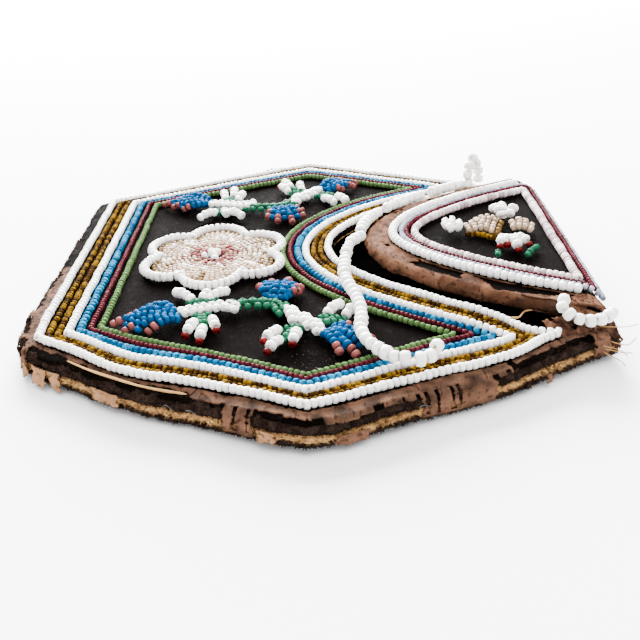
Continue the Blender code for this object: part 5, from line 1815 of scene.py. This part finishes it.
    def lint(self):
        """Pale specks of lint on the velvet near the front corner."""
        draw = random.Random(9)
        specks = []
        while len(specks) < 70:
            x = draw.gauss(4.0, 5.0)
            y = draw.gauss(-56.0, 4.5)
            if rim_distance(x, y) > 15.5:
                foot = Vector((x, y, front_top(x, y) + 0.02))
                tip = foot + Vector((draw.gauss(0, 0.14), draw.gauss(0, 0.14), 0.12))
                specks.append(self.spike(foot, tip, 0.05))
        verts, faces = joined(specks)
        piece("lint_specks", verts, faces, (), "lint", smooth=False)


class PURSE_OT_stage(bpy.types.Operator):
    """Pale floor, soft lights and the camera at the photograph's place"""
    bl_idname = "purse.stage"
    bl_label = "Stage"

    def execute(self, context):
        self.camera(context)
        self.floor()
        self.light("back_light", (-0.15, 1.15, 0.50), 1.0, 350.0)
        self.light("top_light", (0.15, -0.15, 1.1), 1.2, 33.0)
        world = bpy.data.worlds.new("studio")
        world.use_nodes = True
        back = world.node_tree.nodes["Background"]
        back.inputs["Color"].default_value = (1.0, 1.0, 1.0, 1.0)
        back.inputs["Strength"].default_value = 2.0
        context.scene.world = world
        return {"FINISHED"}

    def camera(self, context):
        yaw = math.radians(-0.51)
        pitch = math.radians(27.61)
        roll = math.radians(-1.88)
        ahead = Vector((math.sin(yaw) * math.cos(pitch), math.cos(yaw) * math.cos(pitch), -math.sin(pitch)))
        level = Vector((math.cos(yaw), -math.sin(yaw), 0.0))
        up = level.cross(ahead)
        right = math.cos(roll) * level + math.sin(roll) * up
        top = -math.sin(roll) * level + math.cos(roll) * up
        lens = bpy.data.cameras.new("photo_camera")
        lens.lens = 50.0
        lens.sensor_width = 36.0
        lens.clip_start = 0.01
        camera = bpy.data.objects.new("photo_camera", lens)
        turn = Matrix((right, top, -ahead)).transposed().to_4x4()
        camera.matrix_world = Matrix.Translation(Vector((4.7, -223.5, 104.7)) * MM) @ turn
        context.scene.collection.objects.link(camera)
        context.scene.camera = camera

    def floor(self):
        mesh = bpy.data.meshes.new("floor")
        reach = 3.0
        mesh.from_pydata([(-reach, -reach, 0.0), (reach, -reach, 0.0), (reach, reach, 0.0),
                          (-reach, reach, 0.0)],
                         [], [(0, 1, 2, 3)])
        finish = Finish("studio_floor", Roughness=0.9, Specular_IOR_Level=0.1, Base_Color=(0.86, 0.86, 0.87))
        mesh.materials.append(finish.material)
        item = bpy.data.objects.new("floor", mesh)
        bpy.context.scene.collection.objects.link(item)

    def light(self, name, place, size, power):
        lamp = bpy.data.lights.new(name, "AREA")
        lamp.energy = power
        lamp.size = size
        item = bpy.data.objects.new(name, lamp)
        item.location = place
        item.rotation_euler = (-Vector(place)).to_track_quat("-Z", "Y").to_euler()
        bpy.context.scene.collection.objects.link(item)


STEPS = (PURSE_OT_stage, PURSE_OT_strings, PURSE_OT_cloth, PURSE_OT_border, PURSE_OT_rosette,
         PURSE_OT_branches, PURSE_OT_flap_flower, PURSE_OT_ribbons, PURSE_OT_wear)


class PURSE_PT_panel(bpy.types.Panel):
    """Sizes, colours and building steps of the purse"""
    bl_label = "Beaded purse"
    bl_idname = "PURSE_PT_panel"
    bl_space_type = "VIEW_3D"
    bl_region_type = "UI"
    bl_category = "Purse"

    def draw(self, context):
        for group in (context.scene.purse_sizes, context.scene.purse_colours):
            for name in group.bl_rna.properties.keys():
                if name not in ("rna_type", "name"):
                    self.layout.prop(group, name)
        for step in STEPS:
            self.layout.operator(step.bl_idname)


CLASSES = (PurseSizes, PurseColours, *STEPS, PURSE_PT_panel)


def register():
    for item in CLASSES:
        bpy.utils.register_class(item)
    bpy.types.Scene.purse_sizes = bpy.props.PointerProperty(type=PurseSizes)
    bpy.types.Scene.purse_colours = bpy.props.PointerProperty(type=PurseColours)


def unregister():
    del bpy.types.Scene.purse_sizes
    del bpy.types.Scene.purse_colours
    for item in reversed(CLASSES):
        bpy.utils.unregister_class(item)


def main():
    register()
    for step in STEPS:
        group, name = step.bl_idname.split(".")
        getattr(getattr(bpy.ops, group), name)()


if __name__ == "__main__":
    main()
